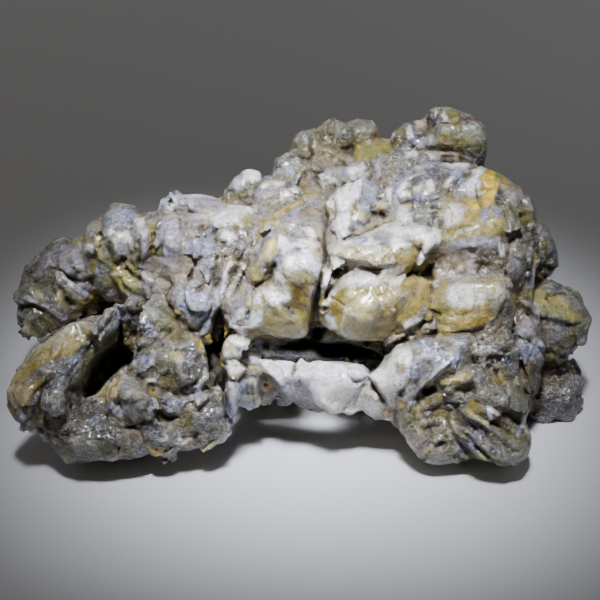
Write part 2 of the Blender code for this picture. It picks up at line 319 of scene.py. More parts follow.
# A lump is a rounded block. half: half its sizes along its own axes. turn: its XYZ rotation. power: 2 is an
# ellipsoid, 6 nearly a box. mineral: a name in MINERALS. rough: 0 for waxy skin, 1 for broken rock. blend:
# how far it melts into others. The order sets each lump's seed.
Lump = namedtuple("Lump", "name centre half turn power mineral rough blend")
# The rear foot is umber: painted shade, where it lies in the stone's shadow.
# The rib under the bridge is umber: its own brown, and painted shade under the bridge.
LUMP_ROWS = """
# core
core_left -30,6,46 36,22,13 0,-4,0 3 grey 0.6 2.5
core_middle 6,14,50 44,27,15 0,-5,0 3 grey 0.5 2.5
core_right 46,8,48 24,24,20 0,0,0 2.6 cream 0.4 2.5
belly -4,16,24 46,22,21 0,0,0 2.8 umber 0.7 2.5
back_mass 22,32,44 37,17,22 0,-8,0 2.8 tan 0.8 2.5
back_left_mass -42,26,30 30,22,19 0,-6,0 2.6 olive 0.8 2.5
# left foot
outer_wall -71,-32,29 20,6,10 0,-32,43 3.6 ochre 0.45 1
inner_wall -63,-32,28 21,5,12 0,-36,56 3.6 olive 0.5 1
front_block -60,-36,12.5 17,13,9 0,0,0 3 olive 0.5 1.5
tan_block -51,-38,22 7,8,9 0,20,20 4 ochre 0.4 0.8
notch_block -38,-30,31 10,10,9 0,0,0 3.4 grey 0.7 0.8
rough_low -41,-38,15 9,10,10 0,0,0 3 grey 1 1
plate -30,-36,16 11,10,9 0,-10,0 3.2 grey 0.5 0.8
fin -21,-33,19 2.6,7,13 0,8,0 3.6 blue 0.3 0.8
left_foot_back -50,-12,17 27,20,16 0,0,0 2.8 tan 0.8 2
cheek -41,-17,38 14,10,8 0,10,0 3 grey 0.7 1.2
blue_facet -30,-17,43 10,9,11 0,0,0 3.6 blue 0.3 1
# left top
back_left_upper -70,16,35 16,14,10.5 0,-10,0 3 grey 0.6 1.2
back_left_lower -81,8,29 10,12,9 0,0,0 3 grey 0.7 1.2
back_left_under -74,6,20 9,12,10 0,0,0 2.6 olive 0.8 1.5
upper_block -55,4,50 8,11,14 0,4,0 4 cream 0.3 0.8
upper_block_side -61,9,48 6,9,11 0,0,0 3 grey 0.4 1
ribs -45,-2,53 7,9,12 0,0,0 3 grey 0.6 1
pink_facet -35,-4,52 10,11,13 0,0,0 3.6 pink 0.2 1
knob -39.5,10,63 5,5,5 0,0,0 2.2 blue 0.2 1.5
white_roll -29,8,62 10,5,5.5 0,0,0 2.4 white 0.1 1.5
blue_roll -22,4,61 13,5,4.5 0,-8,0 2.4 blue 0.1 1.5
strata_low -26,-10,50 9,10,14 0,25,0 3 grey 0.5 1
strata_high -18,-4,58 9,12,8 0,20,0 3 grey 0.5 1
# middle
cream_left -9,-16,45 15,14,10 0,0,0 2.8 cream 0.1 2
cream_ear -12,-12,56 4.5,9,13 0,32,0 3 cream 0.3 1.5
white_facet 0,-15,52 8,12,12 0,0,0 3.4 white 0.15 1.2
cream_right 22,-16,46 15,15,12 0,0,0 2.6 cream 0.1 2.5
cream_right_low 31,-15,43 11,13,9 0,-20,0 2.6 cream 0.15 2.5
ledge 26,-9,60 17,12,7 0,-12,0 3 white 0.2 1.5
flat_left -3,6,60 16,15,6 0,-4,0 3 grey 0.6 1.5
mid_ridge 17,4,65 8,15,7 0,0,-12 2.8 white 0.6 1.2
mosaic 38,14,65 17,15,8 0,-4,0 3 blue 0.7 1.5
# back top
back_step_left -16,22,62 7.5,7,7 0,0,0 2.4 cream 0.3 1.2
back_step_front -7,18,62 8,7,6 0,0,0 2.6 grey 0.4 1.2
back_step_high -1,30,65 9,9,7 0,0,0 2.6 grey 0.4 1.2
back_knob_left 2,42,68 6,7,8 0,0,0 2.4 olive 0.3 1.2
back_knob_middle 10,45,70 7,7,8 0,0,0 2.4 grey 0.3 1.2
back_knob_right 19.5,45,70 6.5,7,8.5 0,0,0 2.4 olive 0.3 1.2
back_yellow 26,39,66 9,8,7 0,0,0 3 ochre 0.3 1.2
back_bed 12,36,60 18,12,9 0,0,0 3 grey 0.6 1.5
saddle 33,29,67 12,11,7 0,0,0 2.8 grey 0.4 1.5
peak 47,42,73 8,9,9 0,0,0 3 ochre 0.3 1.2
peak_left 37,41,71 8,8,7 0,0,0 2.6 grey 0.5 1.2
peak_right 53,40,69 7.5,9,11 0,0,0 3 rust 0.3 1.5
shoulder 57,14,61 12,14,12 0,10,0 2.6 ochre 0.4 2
shoulder_right 63,12,52 11,14,14 0,0,0 2.8 grey 0.4 2
# right
yellow_face 51,-2,58 15,12,11 0,0,0 2.6 cream 0.2 2.5
rough_patch 51,-8,51 13,10,7 0,0,0 3 grey 1 1.5
cream_block 51,-16,44 12,10,9 0,0,0 4 cream 0.15 1
right_side 64,-2,48 7,10,14 0,0,0 3 pink 0.3 1.5
far_small 75.5,20,43 6,8,9 0,-14,0 3.6 grey 0.4 1.2
far_lump 77.5,4,25 12.8,13,12.2 0,22,0 4.2 olive 0.4 1.5
far_neck 63,10,32 11,12,14 0,0,0 2.6 olive 0.6 2
back_foot 80.5,-3,6 10.5,13,8 0,8,0 3.6 umber 0.25 1.5
right_foot 50,-31,18 16,14,17 0,0,0 2.8 grey 0.5 2
white_block 31,-32,30 6,7,10 0,35,0 3.4 white 0.1 1.2
grey_fold 41,-30,34 10,9,8 0,0,0 3 blue 0.3 1.5
grey_fold_right 55,-26,32 9,9,9 0,0,0 3 grey 0.4 1.5
ridged_toe 57,-37,12 12,11,9 0,30,0 3 olive 0.4 1.2
white_toe 42,-37,12 10,10,8 0,0,0 2.8 cream 0.3 1.2
toe_left 37,-33,17 9,9,9 0,0,0 2.8 cream 0.3 1.5
rough_band 65,-17,20 6,10,16 0,0,0 2.8 olive 0.9 1.5
right_foot_back 56,-6,20 20,20,20 0,0,0 2.8 olive 0.7 2
# bridge
bridge_left -15,-27,33 10,6,6 0,10,0 3 cream 0.3 1
bridge_left_low -15,-28,25 8,6,7.5 0,0,0 3 blue 0.8 1
bridge_plate 0,-29,29 13,5,7.5 0,10,0 3 white 0.2 1
bridge_rib -3,-27,19 14,4,4.5 0,12,0 2.8 umber 0.7 1
bridge_thick 13,-31,25 10,6,9 0,0,0 2.8 white 0.1 1.5
bridge_right 22,-30,27 6,6,6 0,0,0 2.6 white 0.2 1.5
bridge_joint 26,-31,22 7,6,8 0,0,0 2.8 white 0.2 1.5
# heels
left_heel -50,-25,7 15,11,8.5 0,0,0 3 olive 0.6 2
right_heel 50,-24,7 13,11,8.5 0,0,0 3 olive 0.6 2
# rear
rear_left_foot -50,32,12 17,14,14 0,0,12 3 olive 0.7 1.5
rear_left_knee -33,38,22 13,11,15 0,12,0 3.2 tan 0.7 1.5
rear_left_slab -60,24,25 13,13,12 0,-14,0 3.4 pink 0.7 1.5
rear_left_shelf -29,34,39 18,12,8 0,-8,0 3.2 blue 0.7 1.5
rear_middle -8,38,30 16,13,20 0,0,0 3 cream 0.7 1.5
rear_middle_low 3,44,16 15,9,10 0,10,0 3 olive 0.7 1.5
rear_rib 10,47,40 8,7,18 0,14,0 3.2 pink 0.7 1.5
rear_ledge 25,47,29 13,8,10 0,-10,0 3 ochre 0.7 1.5
rear_right_foot 42,38,12 17,14,14 0,0,-10 3 olive 0.7 1.5
rear_right_knee 50,36,38 14,13,17 0,8,0 3 cream 0.7 1.5
rear_right_slab 31,43,50 12,9,13 0,-12,0 3.4 blue 0.7 1.5
rear_right_corner 62,26,28 11,12,15 0,0,20 3.2 tan 0.7 1.5
"""
HOLLOW_ROWS = """
left_cavity -56,-31,35 20,4,11 0,-36,56 3 grey 0.6 1
alcove 2,-16,17 25,9,19 0,0,0 4 grey 0.6 1
slot 3,-23,35 22,13,3.3 0,0,0 5 grey 0.6 1
"""

# Detail that shows from the front is drawn in pixels, across and down from the picture's top left, and lies
# on the stone's skin. Later rows lie over earlier ones. A row is a word, a name, values and points:
# patch: an outline of a mineral, lifted by so many mm, that leans by so many mm from its middle to its edge
#   towards an angle, 0 up and 90 right.
# groove and ridge: a line's depth or height, and its width in pixels.
# step: the same, but the ground on the line's right-hand side, as it is walked, stands that much higher.
# pit: an outline cut that many mm straight back.
Patch = namedtuple("Patch", "name mineral lift lean toward outline")
Line = namedtuple("Line", "name kind height width points")
Pit = namedtuple("Pit", "name depth outline")
LEFT_FOOT_DETAIL = """
patch slab ochre 1 0.5 300: 86,320 92,332 68,358 45,380 30,405 12,412 20,372 40,345 65,325
patch slab_rim cream 0.3 0.5 300: 84,319 88,326 66,342 46,352 26,372 24,366 42,342 66,325
patch slab_stain ochre 0 0 0: 85,330 86,338 62,352 58,344
patch slab_rust tan -0.3 0 0: 48,362 66,356 60,368 42,378 28,388 30,378
patch slab_end ochre 0 0 0: 10,402 24,396 22,418 8,420
patch moss olive 0 0 200: 26,414 52,412 50,430 40,434 28,424
patch inner_crest olive 1.2 0.6 300: 112,322 118,334 102,350 88,368 80,386 72,386 76,368 92,346
patch inner_face slate 0.3 0.5 210: 70,362 76,372 72,392 60,410 44,412 34,402 52,380
patch inner_tan tan 0.3 0.3 200: 58,384 72,378 68,398 56,412 40,400
groove slab_seam 1.6 2.4: 98,322 84,346 70,362 54,379 38,392 26,408
groove slab_seam_side 1 2: 100,330 88,350 74,368 60,386 44,400
ridge inner_edge 0.8 4: 114,326 98,347 84,366 76,386
patch stem_pale tan 0.8 0.2 0: 103,308 110,312 110,330 102,336 100,322
patch stem_blue blue 0.5 0 0: 112,314 118,312 120,330 112,334
pit cavity 16: 121,322 123,344 134,352 132,362 122,366 106,380 96,394 86,398 82,386 90,368 103,351 118,342
patch cavity_lump slate 0.9 0.6 0: 66,398 74,388 86,390 88,398 80,402 70,410 60,412
patch tan_left ochre 1 1.2 60: 122,368 118,400 104,404 98,394 110,380
patch tan_right tan 1.6 0.9 240: 122,368 136,377 146,386 147,400 134,402 120,400
patch tan_foot tan 0.7 0.8 150: 134,402 147,400 143,416 134,426 128,416
patch tan_middle pink 0.5 0.6 180: 104,405 128,402 130,420 118,420 108,414
groove tan_crease 0.8 1.6: 122,372 117,386 119,402 127,416 128,426
step tan_under -1.2 3: 98,397 106,408 118,421 132,428 147,418
patch plum_plate slate 0.8 0.8 180: 88,404 104,406 116,422 112,432 96,432 86,420
patch grey_crystals grey 0.4 0.8 200: 56,410 74,402 84,406 84,420 72,430 54,428
patch brown_hollow umber -0.6 0 0: 54,432 70,426 88,428 80,440 62,446
patch lower_olive olive 0.6 1 0: 52,440 86,436 110,438 136,448 134,459 70,462 58,454
patch lower_plum umber 0.5 0.8 180: 88,428 118,426 134,434 128,446 108,440 90,440
patch lower_pale tan 0.4 0.3 180: 124,432 140,430 142,442 128,448
groove lower_groove 0.8 2: 46,436 70,444 96,438 124,450 136,444
step foot_step 1 4: 30,436 52,430 78,444 112,436 140,428
patch wavy olive 1 1.2 200: 122,318 142,313 164,318 176,328 160,340 140,349 126,345 120,332
patch wavy_streak slate 0.6 0.5 200: 124,320 136,316 158,332 152,339 138,332
groove wavy_fold 0.8 2: 124,330 136,334 148,342 158,340
patch wavy_spot rust -0.5 0 0: 132,332 140,333 138,340 131,338
groove wavy_under 1.8 2.2: 124,346 140,350 160,341 178,326
patch yellow_top olive 0.6 0.8 200: 150,308 164,312 178,324 170,330 156,320
patch notch_top olive 1 1 190: 180,325 192,334 194,346 178,352 162,352 166,340
patch notch_green olive 1 0.8 200: 164,352 182,350 186,360 180,372 164,372 158,362
patch notch_cream cream 0.4 0.2 200: 168,354 180,353 182,364 172,366
patch notch_rust umber 0.2 0.3 90: 186,350 194,350 192,364 182,374
patch notch_low olive 0.6 0.8 0: 160,372 182,372 184,384 172,396 162,392 156,380
step notch_edge 1.4 4: 134,360 158,344 180,325 194,336 197,352 190,374 176,396
patch notch_left blue 0.4 0.6 200: 138,358 152,354 154,368 142,372
patch notch_grit grey 0.2 0 0: 126,366 138,362 150,374 148,386 138,378
pit hole_upper 2.5: 147,388 151,383 157,386 157,394 151,398 147,394
pit hole_lower 4: 153,412 160,410 168,416 178,418 172,423 158,424
patch chip white 0.8 0.3 180: 150,380 158,381 156,386 149,386
patch mid_block umber 0.8 0.8 200: 188,358 200,352 203,372 198,382 184,386
groove mid_crack 1.6 2: 196,334 199,352 202,370 200,380 186,388 176,394
patch blue_face blue 1.2 1 200: 184,390 196,384 204,376 207,396 196,412 190,402
patch blue_side grey 1 1.2 270: 204,372 220,372 223,398 210,402 198,410 207,394
ridge blue_edge 1.4 4: 202,378 199,392 196,414
groove blue_fold_1 0.8 1.6: 208,372 212,386 210,400
groove blue_fold_2 0.6 1.4: 214,370 218,384 217,398
patch blade pink 0.8 0.4 200: 182,392 188,398 194,410 188,412 180,402
patch frost slate 0.6 0.4 190: 160,400 176,400 188,408 182,416 164,414
patch green_knob olive 1.2 1 160: 178,412 192,408 197,418 196,430 182,434 176,426
patch brown_top umber 1.6 0.8 180: 198,412 210,404 222,402 224,414 208,420
patch brown_block umber 0.8 0.8 200: 198,420 224,414 226,436 210,442 204,434
patch brown_stain rust -0.2 0 0: 204,422 218,420 214,432 206,430
groove brown_roof 1.8 2.6: 196,414 206,406 222,402
groove brown_crack 1 1.8: 198,424 206,434 214,446
pit cave 1.6: 177,437 186,433 198,430 202,436 190,442 180,447
patch cave_lip tan 0.6 0.6 180: 180,448 188,443 196,444 188,452 180,452
patch dark_crystals slate 0.6 0.3 200: 142,424 154,422 162,430 160,448 146,446
patch pale_wall tan 0.6 0.6 180: 168,424 176,422 176,438 170,443 152,445 154,441 166,440
patch gold_crumb tan 0.9 0.3 180: 163,431 170,432 172,444 164,446
patch fin blue 0.8 0.6 300: 227,392 238,394 236,424 230,438 228,416
pit slit 12: 221,372 226,380 228,400 231,428 228,432 225,408 221,388
pit deep_hole 22: 214,318 220,308 223,330 220,350 216,354 211,338
"""
LEFT_TOP_DETAIL = """
patch slab_face tan 1 1.4 60: 30,284 34,269 46,252 54,254 52,268 44,280
patch slab_pale pink 0.2 0.3 60: 34,274 44,255 50,256 46,270 38,280
patch slab_top pink 1 1.4 190: 56,254 80,250 96,264 97,274 84,281 68,276 56,267
patch slab_frost grey 0.1 0.2 190: 62,262 70,259 76,268 88,272 84,278 72,272
patch slab_corner white 0.6 0.4 190: 78,245 92,245 93,256 84,256
patch corner_spot tan -0.4 0 0: 85,253 90,254 89,259 86,258
groove slab_under 1.6 2.4: 50,268 60,272 70,280 84,284 97,277
groove corner_seam 1 2: 90,254 98,262 103,266
patch green_strip lime 1 0.8 300: 93,240 98,229 103,234 104,262 97,263
patch ridge_pale white 0.6 0.8 20: 52,272 62,275 76,286 88,297 80,301 66,290 54,280
ridge ridge_crest 1.2 4: 56,273 66,280 78,292 88,299
groove ridge_low 1 1.8: 50,284 62,290 70,302 80,306
patch ridge_inner grey 0.8 0.8 30: 44,290 56,286 64,300 66,312 52,312 46,302
patch ridge_green lime 0.4 0.4 40: 54,290 60,290 66,306 58,308
pit brown_pocket 3: 63,296 68,297 74,304 70,307 64,302
patch pocket_wall tan 0 0 0: 60,293 70,294 78,302 72,310 62,304
patch low_block olive 1 1 200: 12,296 24,285 38,287 44,298 38,305 24,303
patch low_frost white 0.1 0.2 200: 24,296 32,300 44,304 48,310 36,305 26,303
patch low_tan lime 0.2 0.2 200: 30,290 38,292 36,299 30,298
step low_lip -1.6 6: 8,300 18,306 32,305 44,311 58,321 66,326
patch low_under olive 0 0 0: 16,308 30,308 44,314 56,322 48,332 38,337 28,328
patch low_dark olive 0 0 0: 28,312 44,316 54,326 42,338 34,328
patch low_ochre tan 0.4 0.2 200: 46,312 58,316 66,322 56,322
patch cream_chip grey 1.2 0.8 200: 94,290 95,277 102,273 106,282 104,292
patch cream_chip_side olive 0.6 0.4 270: 103,274 108,284 106,292 104,286
patch dark_grit blue -0.4 0 0: 78,284 92,284 92,294 84,297 74,290
groove grit_gap 1 1.8: 76,286 88,294 98,296 108,298
patch blade_left cream 0.6 0.4 330: 78,310 92,301 96,303 84,313
patch opal white 0.9 0.4 200: 87,311 96,303 101,307 98,316 90,318
groove opal_gap 1 1.6: 82,312 90,306 98,300 104,304
patch pink_crumbs pink 0.6 0.3 180: 104,288 114,286 120,294 112,300 104,296
patch block_low lime 0.6 0.2 20: 104,258 112,254 126,262 137,259 137,284 133,296 118,294 108,283
patch block_band olive 0 0 0: 106,262 122,262 132,266 128,272 108,268
patch block_shelf olive 0.2 0.2 180: 104,240 112,244 114,256 126,262 136,258 136,262 126,266 104,260
groove block_crack 0.6 1.8: 112,255 119,258 127,262
patch oval white 0.6 0.4 190: 112,241 118,233 127,232 132,240 133,252 126,259 116,256
patch oval_shine pink 0 0 0: 118,244 128,246 130,254 124,257 117,252
patch block_cap blue 0.6 0.5 180: 103,231 107,218 118,212 135,213 143,219 145,234 138,240 130,228 118,228
    109,237
patch cap_white_1 white 0.2 0.2 180: 103,230 110,228 111,235 107,240 103,237
patch cap_white_2 blue 0.1 0.2 180: 114,214 124,213 127,220 120,224 113,221
patch cap_white_3 white 0.5 0.3 180: 134,216 145,218 146,230 140,232 134,224
groove cap_vein_1 1 1.8: 108,238 112,231 120,227 128,228 134,237 137,244
groove cap_vein_2 0.7 1.4: 110,220 112,228
groove cap_vein_3 0.8 1.6: 127,215 131,224 138,234 142,246
groove rib_gap 1.6 2: 139,242 140,256 138,268 139,284 140,298
patch gap_wall tan -0.6 0 0: 136,244 142,242 141,262 139,268 136,262
patch brown_knob tan 0.8 0.6 180: 145,214 160,212 164,220 158,224 148,222
groove knob_vein 1 2: 146,216 154,218 162,216
patch gold_vein ochre 0.4 0.2 200: 150,223 157,223 155,241 149,246
patch rib_pale pink 0.8 0.8 300: 142,232 149,226 150,250 146,262 142,256
patch rib_brown tan 0.8 0.8 250: 157,232 164,230 163,250 156,252
patch rib_pink pink 0.8 0.6 300: 165,232 171,236 170,254 164,254
groove rib_gap_1 1.4 2.2: 150,246 155,240 157,230 158,222
groove rib_gap_2 1.2 2: 163,254 164,242 166,230
groove rib_floor 1.2 2: 144,262 154,254 166,258
patch rib_foot pink 0.4 0.8 190: 143,264 165,262 172,284 168,300 150,303 142,296
patch rib_cream tan 0.5 0.6 200: 152,284 170,280 178,300 170,306 158,302
groove rib_foot_crack 1 1.8: 146,300 150,288 156,278 166,278 174,290
patch peak_knob blue 0.6 0.6 200: 162,210 168,196 175,191 188,198 190,207 172,208
patch peak_green white 0.3 0.2 200: 172,200 178,199 181,206 174,207
patch lilac_face pink 0.8 0.8 200: 162,213 180,212 186,238 172,240 162,228
patch lilac_ridge tan 0.7 0.6 280: 181,213 189,217 192,232 197,238 188,240 183,226
groove lilac_gap 1.2 2: 176,210 181,220 186,240
patch pink_roll pink 1 1 200: 188,203 198,195 207,194 222,201 228,205 220,212 205,216 190,212
patch white_roll white 1.2 1.2 190: 190,216 205,216 222,209 232,203 258,202 262,206 250,216 235,226 215,230
    206,237 196,236
patch roll_shade blue 0 0 0: 192,222 206,222 216,226 208,236 198,236
groove roll_seam 1 1.6: 190,212 205,217 220,211 232,203
pit roll_hollow 1.8: 198,229 205,226 214,228 211,233 203,234
patch hollow_rust rust 0 0 0: 197,229 205,226 214,228 210,233 203,234
groove roll_under 0.9 2: 190,230 198,239 208,239 220,231 234,228
patch rose pink 0.3 0 0: 172,240 184,240 183,248 172,248
patch lilac_plate pink 1 1 200: 172,248 190,243 204,246 204,256 194,270 184,286 180,294 172,280 168,262
groove plate_crack 0.7 1.4: 203,244 204,256 194,270 184,286 185,298
groove plate_left 0.9 1.4: 168,256 171,272 178,286 184,298
patch pale_plate blue 0.8 0.8 220: 206,240 214,234 218,250 219,264 212,268 206,262
groove pale_plate_side 1.2 1.8: 216,234 219,250 219,266 214,280 216,292
patch plate_low pink 0.8 0.6 200: 196,272 204,262 213,270 212,290 204,286 194,290 188,284
patch plate_yellow pink 0.2 0 0: 202,264 208,262 206,276 201,280
patch plate_pin white 0.7 0.4 240: 207,272 211,273 210,283 206,282
pit plate_pocket 2.5: 195,293 198,287 204,285 202,291
patch pocket_rust rust 0 0 0: 193,294 197,285 206,283 203,293
patch blue_plate blue 1 1 200: 187,300 192,293 204,296 212,301 207,318 195,330 186,325 182,312
patch blue_shine blue 0 0 0: 196,300 206,300 204,310 196,318
groove cheek_seam 1.8 2.2: 148,301 158,309 166,313 174,321 182,330 190,331 198,328 206,318 212,309 217,303
patch crack_rust rust -0.3 0 0: 148,301 160,308 178,324 190,334 186,326 170,312 156,303
patch far_cheek grey 0.6 0.8 200: 114,300 138,300 148,304 140,312 124,314 114,308
patch cheek_mid olive 0.6 0.6 190: 124,306 146,305 150,312 132,316
groove cheek_crack 1.4 2.2: 108,300 120,306 130,316 142,312 150,306
step strata_1 1.4 3: 221,292 226,272 232,256 236,240
groove strata_2 1.3 2.2: 224,296 231,278 240,262 246,248
groove strata_3 1 1.8: 232,296 238,284 246,270 252,258
patch blade_white_1 white 1 0.8 300: 226,298 230,286 242,266 247,262 243,276 234,290
patch blade_white_2 white 1 0.6 300: 220,292 224,272 231,258 234,262 229,276 226,290
patch blade_pink pink 0.8 0.6 300: 240,286 246,272 252,262 256,266 250,280 246,290
patch blade_grey tan 0.5 0.6 300: 216,246 230,246 228,260 220,276 216,266
patch blade_brown rust -0.3 0 0: 236,238 242,246 240,254 235,248
patch green_pocket olive -0.8 0 0: 220,242 227,244 230,249 222,249
patch frost_1 white 0.5 0.2 200: 222,233 234,234 238,240 230,243 222,239
patch frost_2 blue 0.4 0.2 200: 240,242 252,244 250,254 242,256
groove mica_1 0.8 1.6: 222,244 234,240 246,246
patch mica_gold ochre 0.2 0 0: 236,227 252,224 254,227 238,231
groove mica_2 0.8 1.6: 232,232 246,230 262,226 278,216
"""
# The big cream lump's underside is darker ochre: painted shade.
MIDDLE_DETAIL = """
patch platform pink 0.3 0.4 180: 256,214 284,208 324,200 325,240 302,240 290,232 270,228 258,228
patch platform_blue_1 blue 0.2 0.2 180: 284,212 300,202 312,204 300,212 290,222 283,222
patch platform_blue_2 blue 0.2 0.2 180: 290,228 306,224 306,238 296,240
patch platform_cream cream 0.3 0.3 180: 260,220 272,214 284,218 276,228 262,228
patch platform_tan tan 0.2 0.2 180: 300,206 320,204 322,218 304,222
groove platform_seam_1 0.9 1.8: 258,214 272,212 286,206 304,196
groove platform_seam_2 0.8 1.6: 282,224 292,214 306,208 322,202
groove platform_seam_3 0.7 1.4: 286,236 296,226 310,222 324,216
patch pale_triangle white 0.9 0.5 180: 304,228 314,226 321,238 312,240
patch gold_seam gold 0.3 0 0: 274,214 288,204 290,207 278,218
groove ear_gap 1.8 2.4: 274,228 266,236 260,248 254,258
patch gap_crystals blue -0.4 0 0: 272,226 276,232 266,244 256,260 252,256 260,240
patch ear cream 1.2 1 240: 252,282 250,270 256,262 262,250 270,240 278,234 284,233 281,250 270,268 262,280
patch ear_tip white 0.8 0.8 250: 278,236 285,233 291,242 292,250 284,252 279,246
patch ear_gold gold 0.2 0 0: 268,242 278,238 277,247 268,250
patch ear_tan tan -0.2 0 0: 262,262 270,258 268,270 258,276
patch ear_blue blue -0.2 0.3 200: 280,255 285,257 282,263 276,271 273,278 268,277 272,263
patch white_face_1 white 0.6 0.5 215: 286,256 300,254 304,264 303,272 307,281 300,286 288,281 283,272
patch white_face_2 white 0.5 0.5 200: 301,255 312,258 323,265 320,276 312,283 306,276 304,264
patch beige_face cream 0.4 0.6 200: 312,252 325,247 325,262 317,261
patch face_gold ochre 0.1 0 0: 296,278 304,278 303,286 296,287
patch face_ochre cream 0 0 0: 290,286 300,287 296,296 288,294
groove face_crack_1 0.9 1.4: 293,260 300,268 303,277 309,286
groove face_crack_2 0.8 1.4: 284,252 286,262 282,274 276,286
groove face_crack_3 0.9 1.6: 304,250 314,246 325,240
patch white_sliver white 0.9 0.2 180: 289,246 303,241 304,244 292,250
groove ear_under 0.8 1.8: 246,283 256,284 264,280 272,277
patch under_rust pink 0 0 0: 246,281 262,281 272,276 274,280 258,287 248,287
patch left_lump cream 0 0 0: 238,290 256,288 276,284 308,288 313,300 311,336 252,338 236,332 224,318 226,304
patch left_lump_blue white 0 0.2 200: 226,308 242,304 262,312 260,328 242,333 227,328
patch left_lump_tan pink 0 0 0: 226,300 240,292 246,300 236,310 226,312
patch left_lump_olive lime -0.2 0 0: 268,306 278,308 274,324 264,318
patch left_lump_ochre cream 0 0 0: 240,328 262,330 296,330 294,336 252,337
patch left_lump_swell cream 0.4 0.5 330: 272,306 284,296 304,294 311,304 308,322 290,326
patch lump_top_pale white 0 0 0: 254,290 268,286 290,288 292,298 272,304 258,302
patch left_lump_amber cream 0 0 0: 288,272 306,270 309,286 300,296 288,290
ridge lump_edge 0.9 7: 272,300 282,312 300,326 309,334
ridge crystal_column 2 3.6: 249,286 249,297 250,308
patch column_gold ochre 0.2 0 0: 246,296 252,297 252,308 246,307
patch crystal_top pink 0.2 0 0: 246,286 252,286 252,296 246,296
patch scribble blue -0.4 0 0: 245,310 250,310 250,321 246,321
patch bone cream 1.2 0.3 180: 262,290 266,297 268,303 263,303 261,296
groove bone_crack 1.2 1.8: 251,284 256,291 261,298 268,304
groove gash_lead 0.8 1.6: 272,292 279,300 286,306
pit gash 1.8: 285,304 289,306 295,314 293,317 288,311
patch gash_rust tan 0 0 0: 281,302 288,303 297,313 295,319 287,313
groove low_crack 0.6 1.2: 288,318 292,322 299,327
groove main_crack_top 2.4 2: 325,208 327,226 326,244 326,262 322,274
pit main_crack 9: 322,270 326,268 322,288 320,304 321,340 310,340 312,316 314,296 318,282
patch crack_side pink 0 0 0: 328,222 336,224 340,244 330,252 326,240
patch ledge white 0.9 0.8 180: 330,254 344,246 352,242 366,234 382,226 396,221 412,226 404,246 396,262
    378,266 366,260 342,258
patch ledge_rim ochre 0.3 0 0: 338,254 352,257 368,258 384,260 380,267 366,264 346,261
patch ledge_tan cream 0 0 0: 382,244 392,244 394,252 386,256
patch ledge_stain rust -0.2 0 0: 348,254 358,250 368,254 362,260 350,261
patch ledge_amber ochre 0 0 0: 392,252 402,246 410,250 406,262 394,264
patch ledge_rose pink 0 0 0: 372,236 384,230 396,232 392,242 378,244
patch ledge_honey cream 0 0 0: 340,250 356,246 372,248 390,250 396,260 376,262 352,258
patch crust_honey ochre 0 0 0: 414,240 426,232 434,238 430,248 418,250
patch face_shade cream 0 0 0: 284,270 302,272 318,272 320,282 304,288 286,284
patch lump_shade ochre 0 0 0: 336,318 352,314 372,312 378,326 360,336 342,334
patch ledge_blue blue 0 0 0: 354,240 368,236 370,241 358,246
groove ledge_under 1.1 1.8: 346,263 360,264 372,268 384,268
groove ledge_seam 0.8 1.6: 340,250 358,248 376,240 394,236
patch tongue white 1.2 0.6 190: 330,261 338,258 347,263 346,271 335,269
patch shard white 1.4 0.8 240: 324,286 326,276 333,268 345,272 340,278 332,286 327,289
groove shard_under 0.4 1.2: 330,292 334,284 344,276 352,271
patch lump_white white 0.3 0.3 180: 344,274 356,266 382,270 400,264 410,270 402,282 378,284 356,288 342,288
patch lump_edge_white white 0.6 0.4 250: 334,288 342,286 338,298 330,306 322,306 328,298
patch lump_body cream 0 0 0: 332,306 340,292 360,288 384,286 404,282 418,276 410,290 390,298 378,312 372,330
    350,338 332,334 326,322
patch lump_gold cream 0.2 0 0: 338,298 350,292 364,292 366,306 354,316 340,312
patch lump_gold_2 ochre 0 0 0: 384,290 398,284 410,274 420,266 420,282 404,292 388,298
patch lump_low_blue white 0 0 0: 328,314 336,316 340,328 330,328
patch lump_under ochre -0.2 0.5 0: 380,302 404,296 424,284 438,284 430,300 412,316 398,334 384,338 374,328
patch lump_pits ochre 0 0 0: 384,312 400,304 412,304 404,318 388,328
patch lump_speck_1 ochre -0.4 0 0: 346,303 349,303 349,306 346,306
patch lump_speck_2 lime -0.4 0 0: 364,288 368,288 368,292 364,291
patch lump_speck_3 tan -0.4 0 0: 385,278 389,279 388,282 385,281
groove lump_fold 0.4 2: 366,284 368,296 378,304 392,300
groove diagonal 2.4 2.6: 338,246 350,239 362,236 374,229 386,222 398,219
patch wedge cream 0.8 0.5 180: 352,236 362,230 380,220 392,217 384,223 366,233
patch crease_gold ochre -0.2 0.3 270: 407,251 414,243 423,240 421,252 415,268 409,266
groove crease 1.8 3: 424,240 420,254 414,270 402,282
patch crease_blue white 0.5 0.2 270: 418,264 425,255 430,256 422,268
pit dark_hole 3.5: 426,270 431,265 436,266 433,272 436,282 428,280 422,276
patch hole_rim ochre 0 0 0: 420,268 432,259 446,256 440,266 426,274 440,288 418,282
patch crust white 0.4 0.4 190: 412,226 426,220 436,228 438,246 426,252 424,240 414,236
patch white_knob white 1.4 0.8 190: 398,206 408,203 415,210 414,220 402,220 397,213
groove knob_seam 1 1.8: 396,222 408,224 420,220 428,212
"""
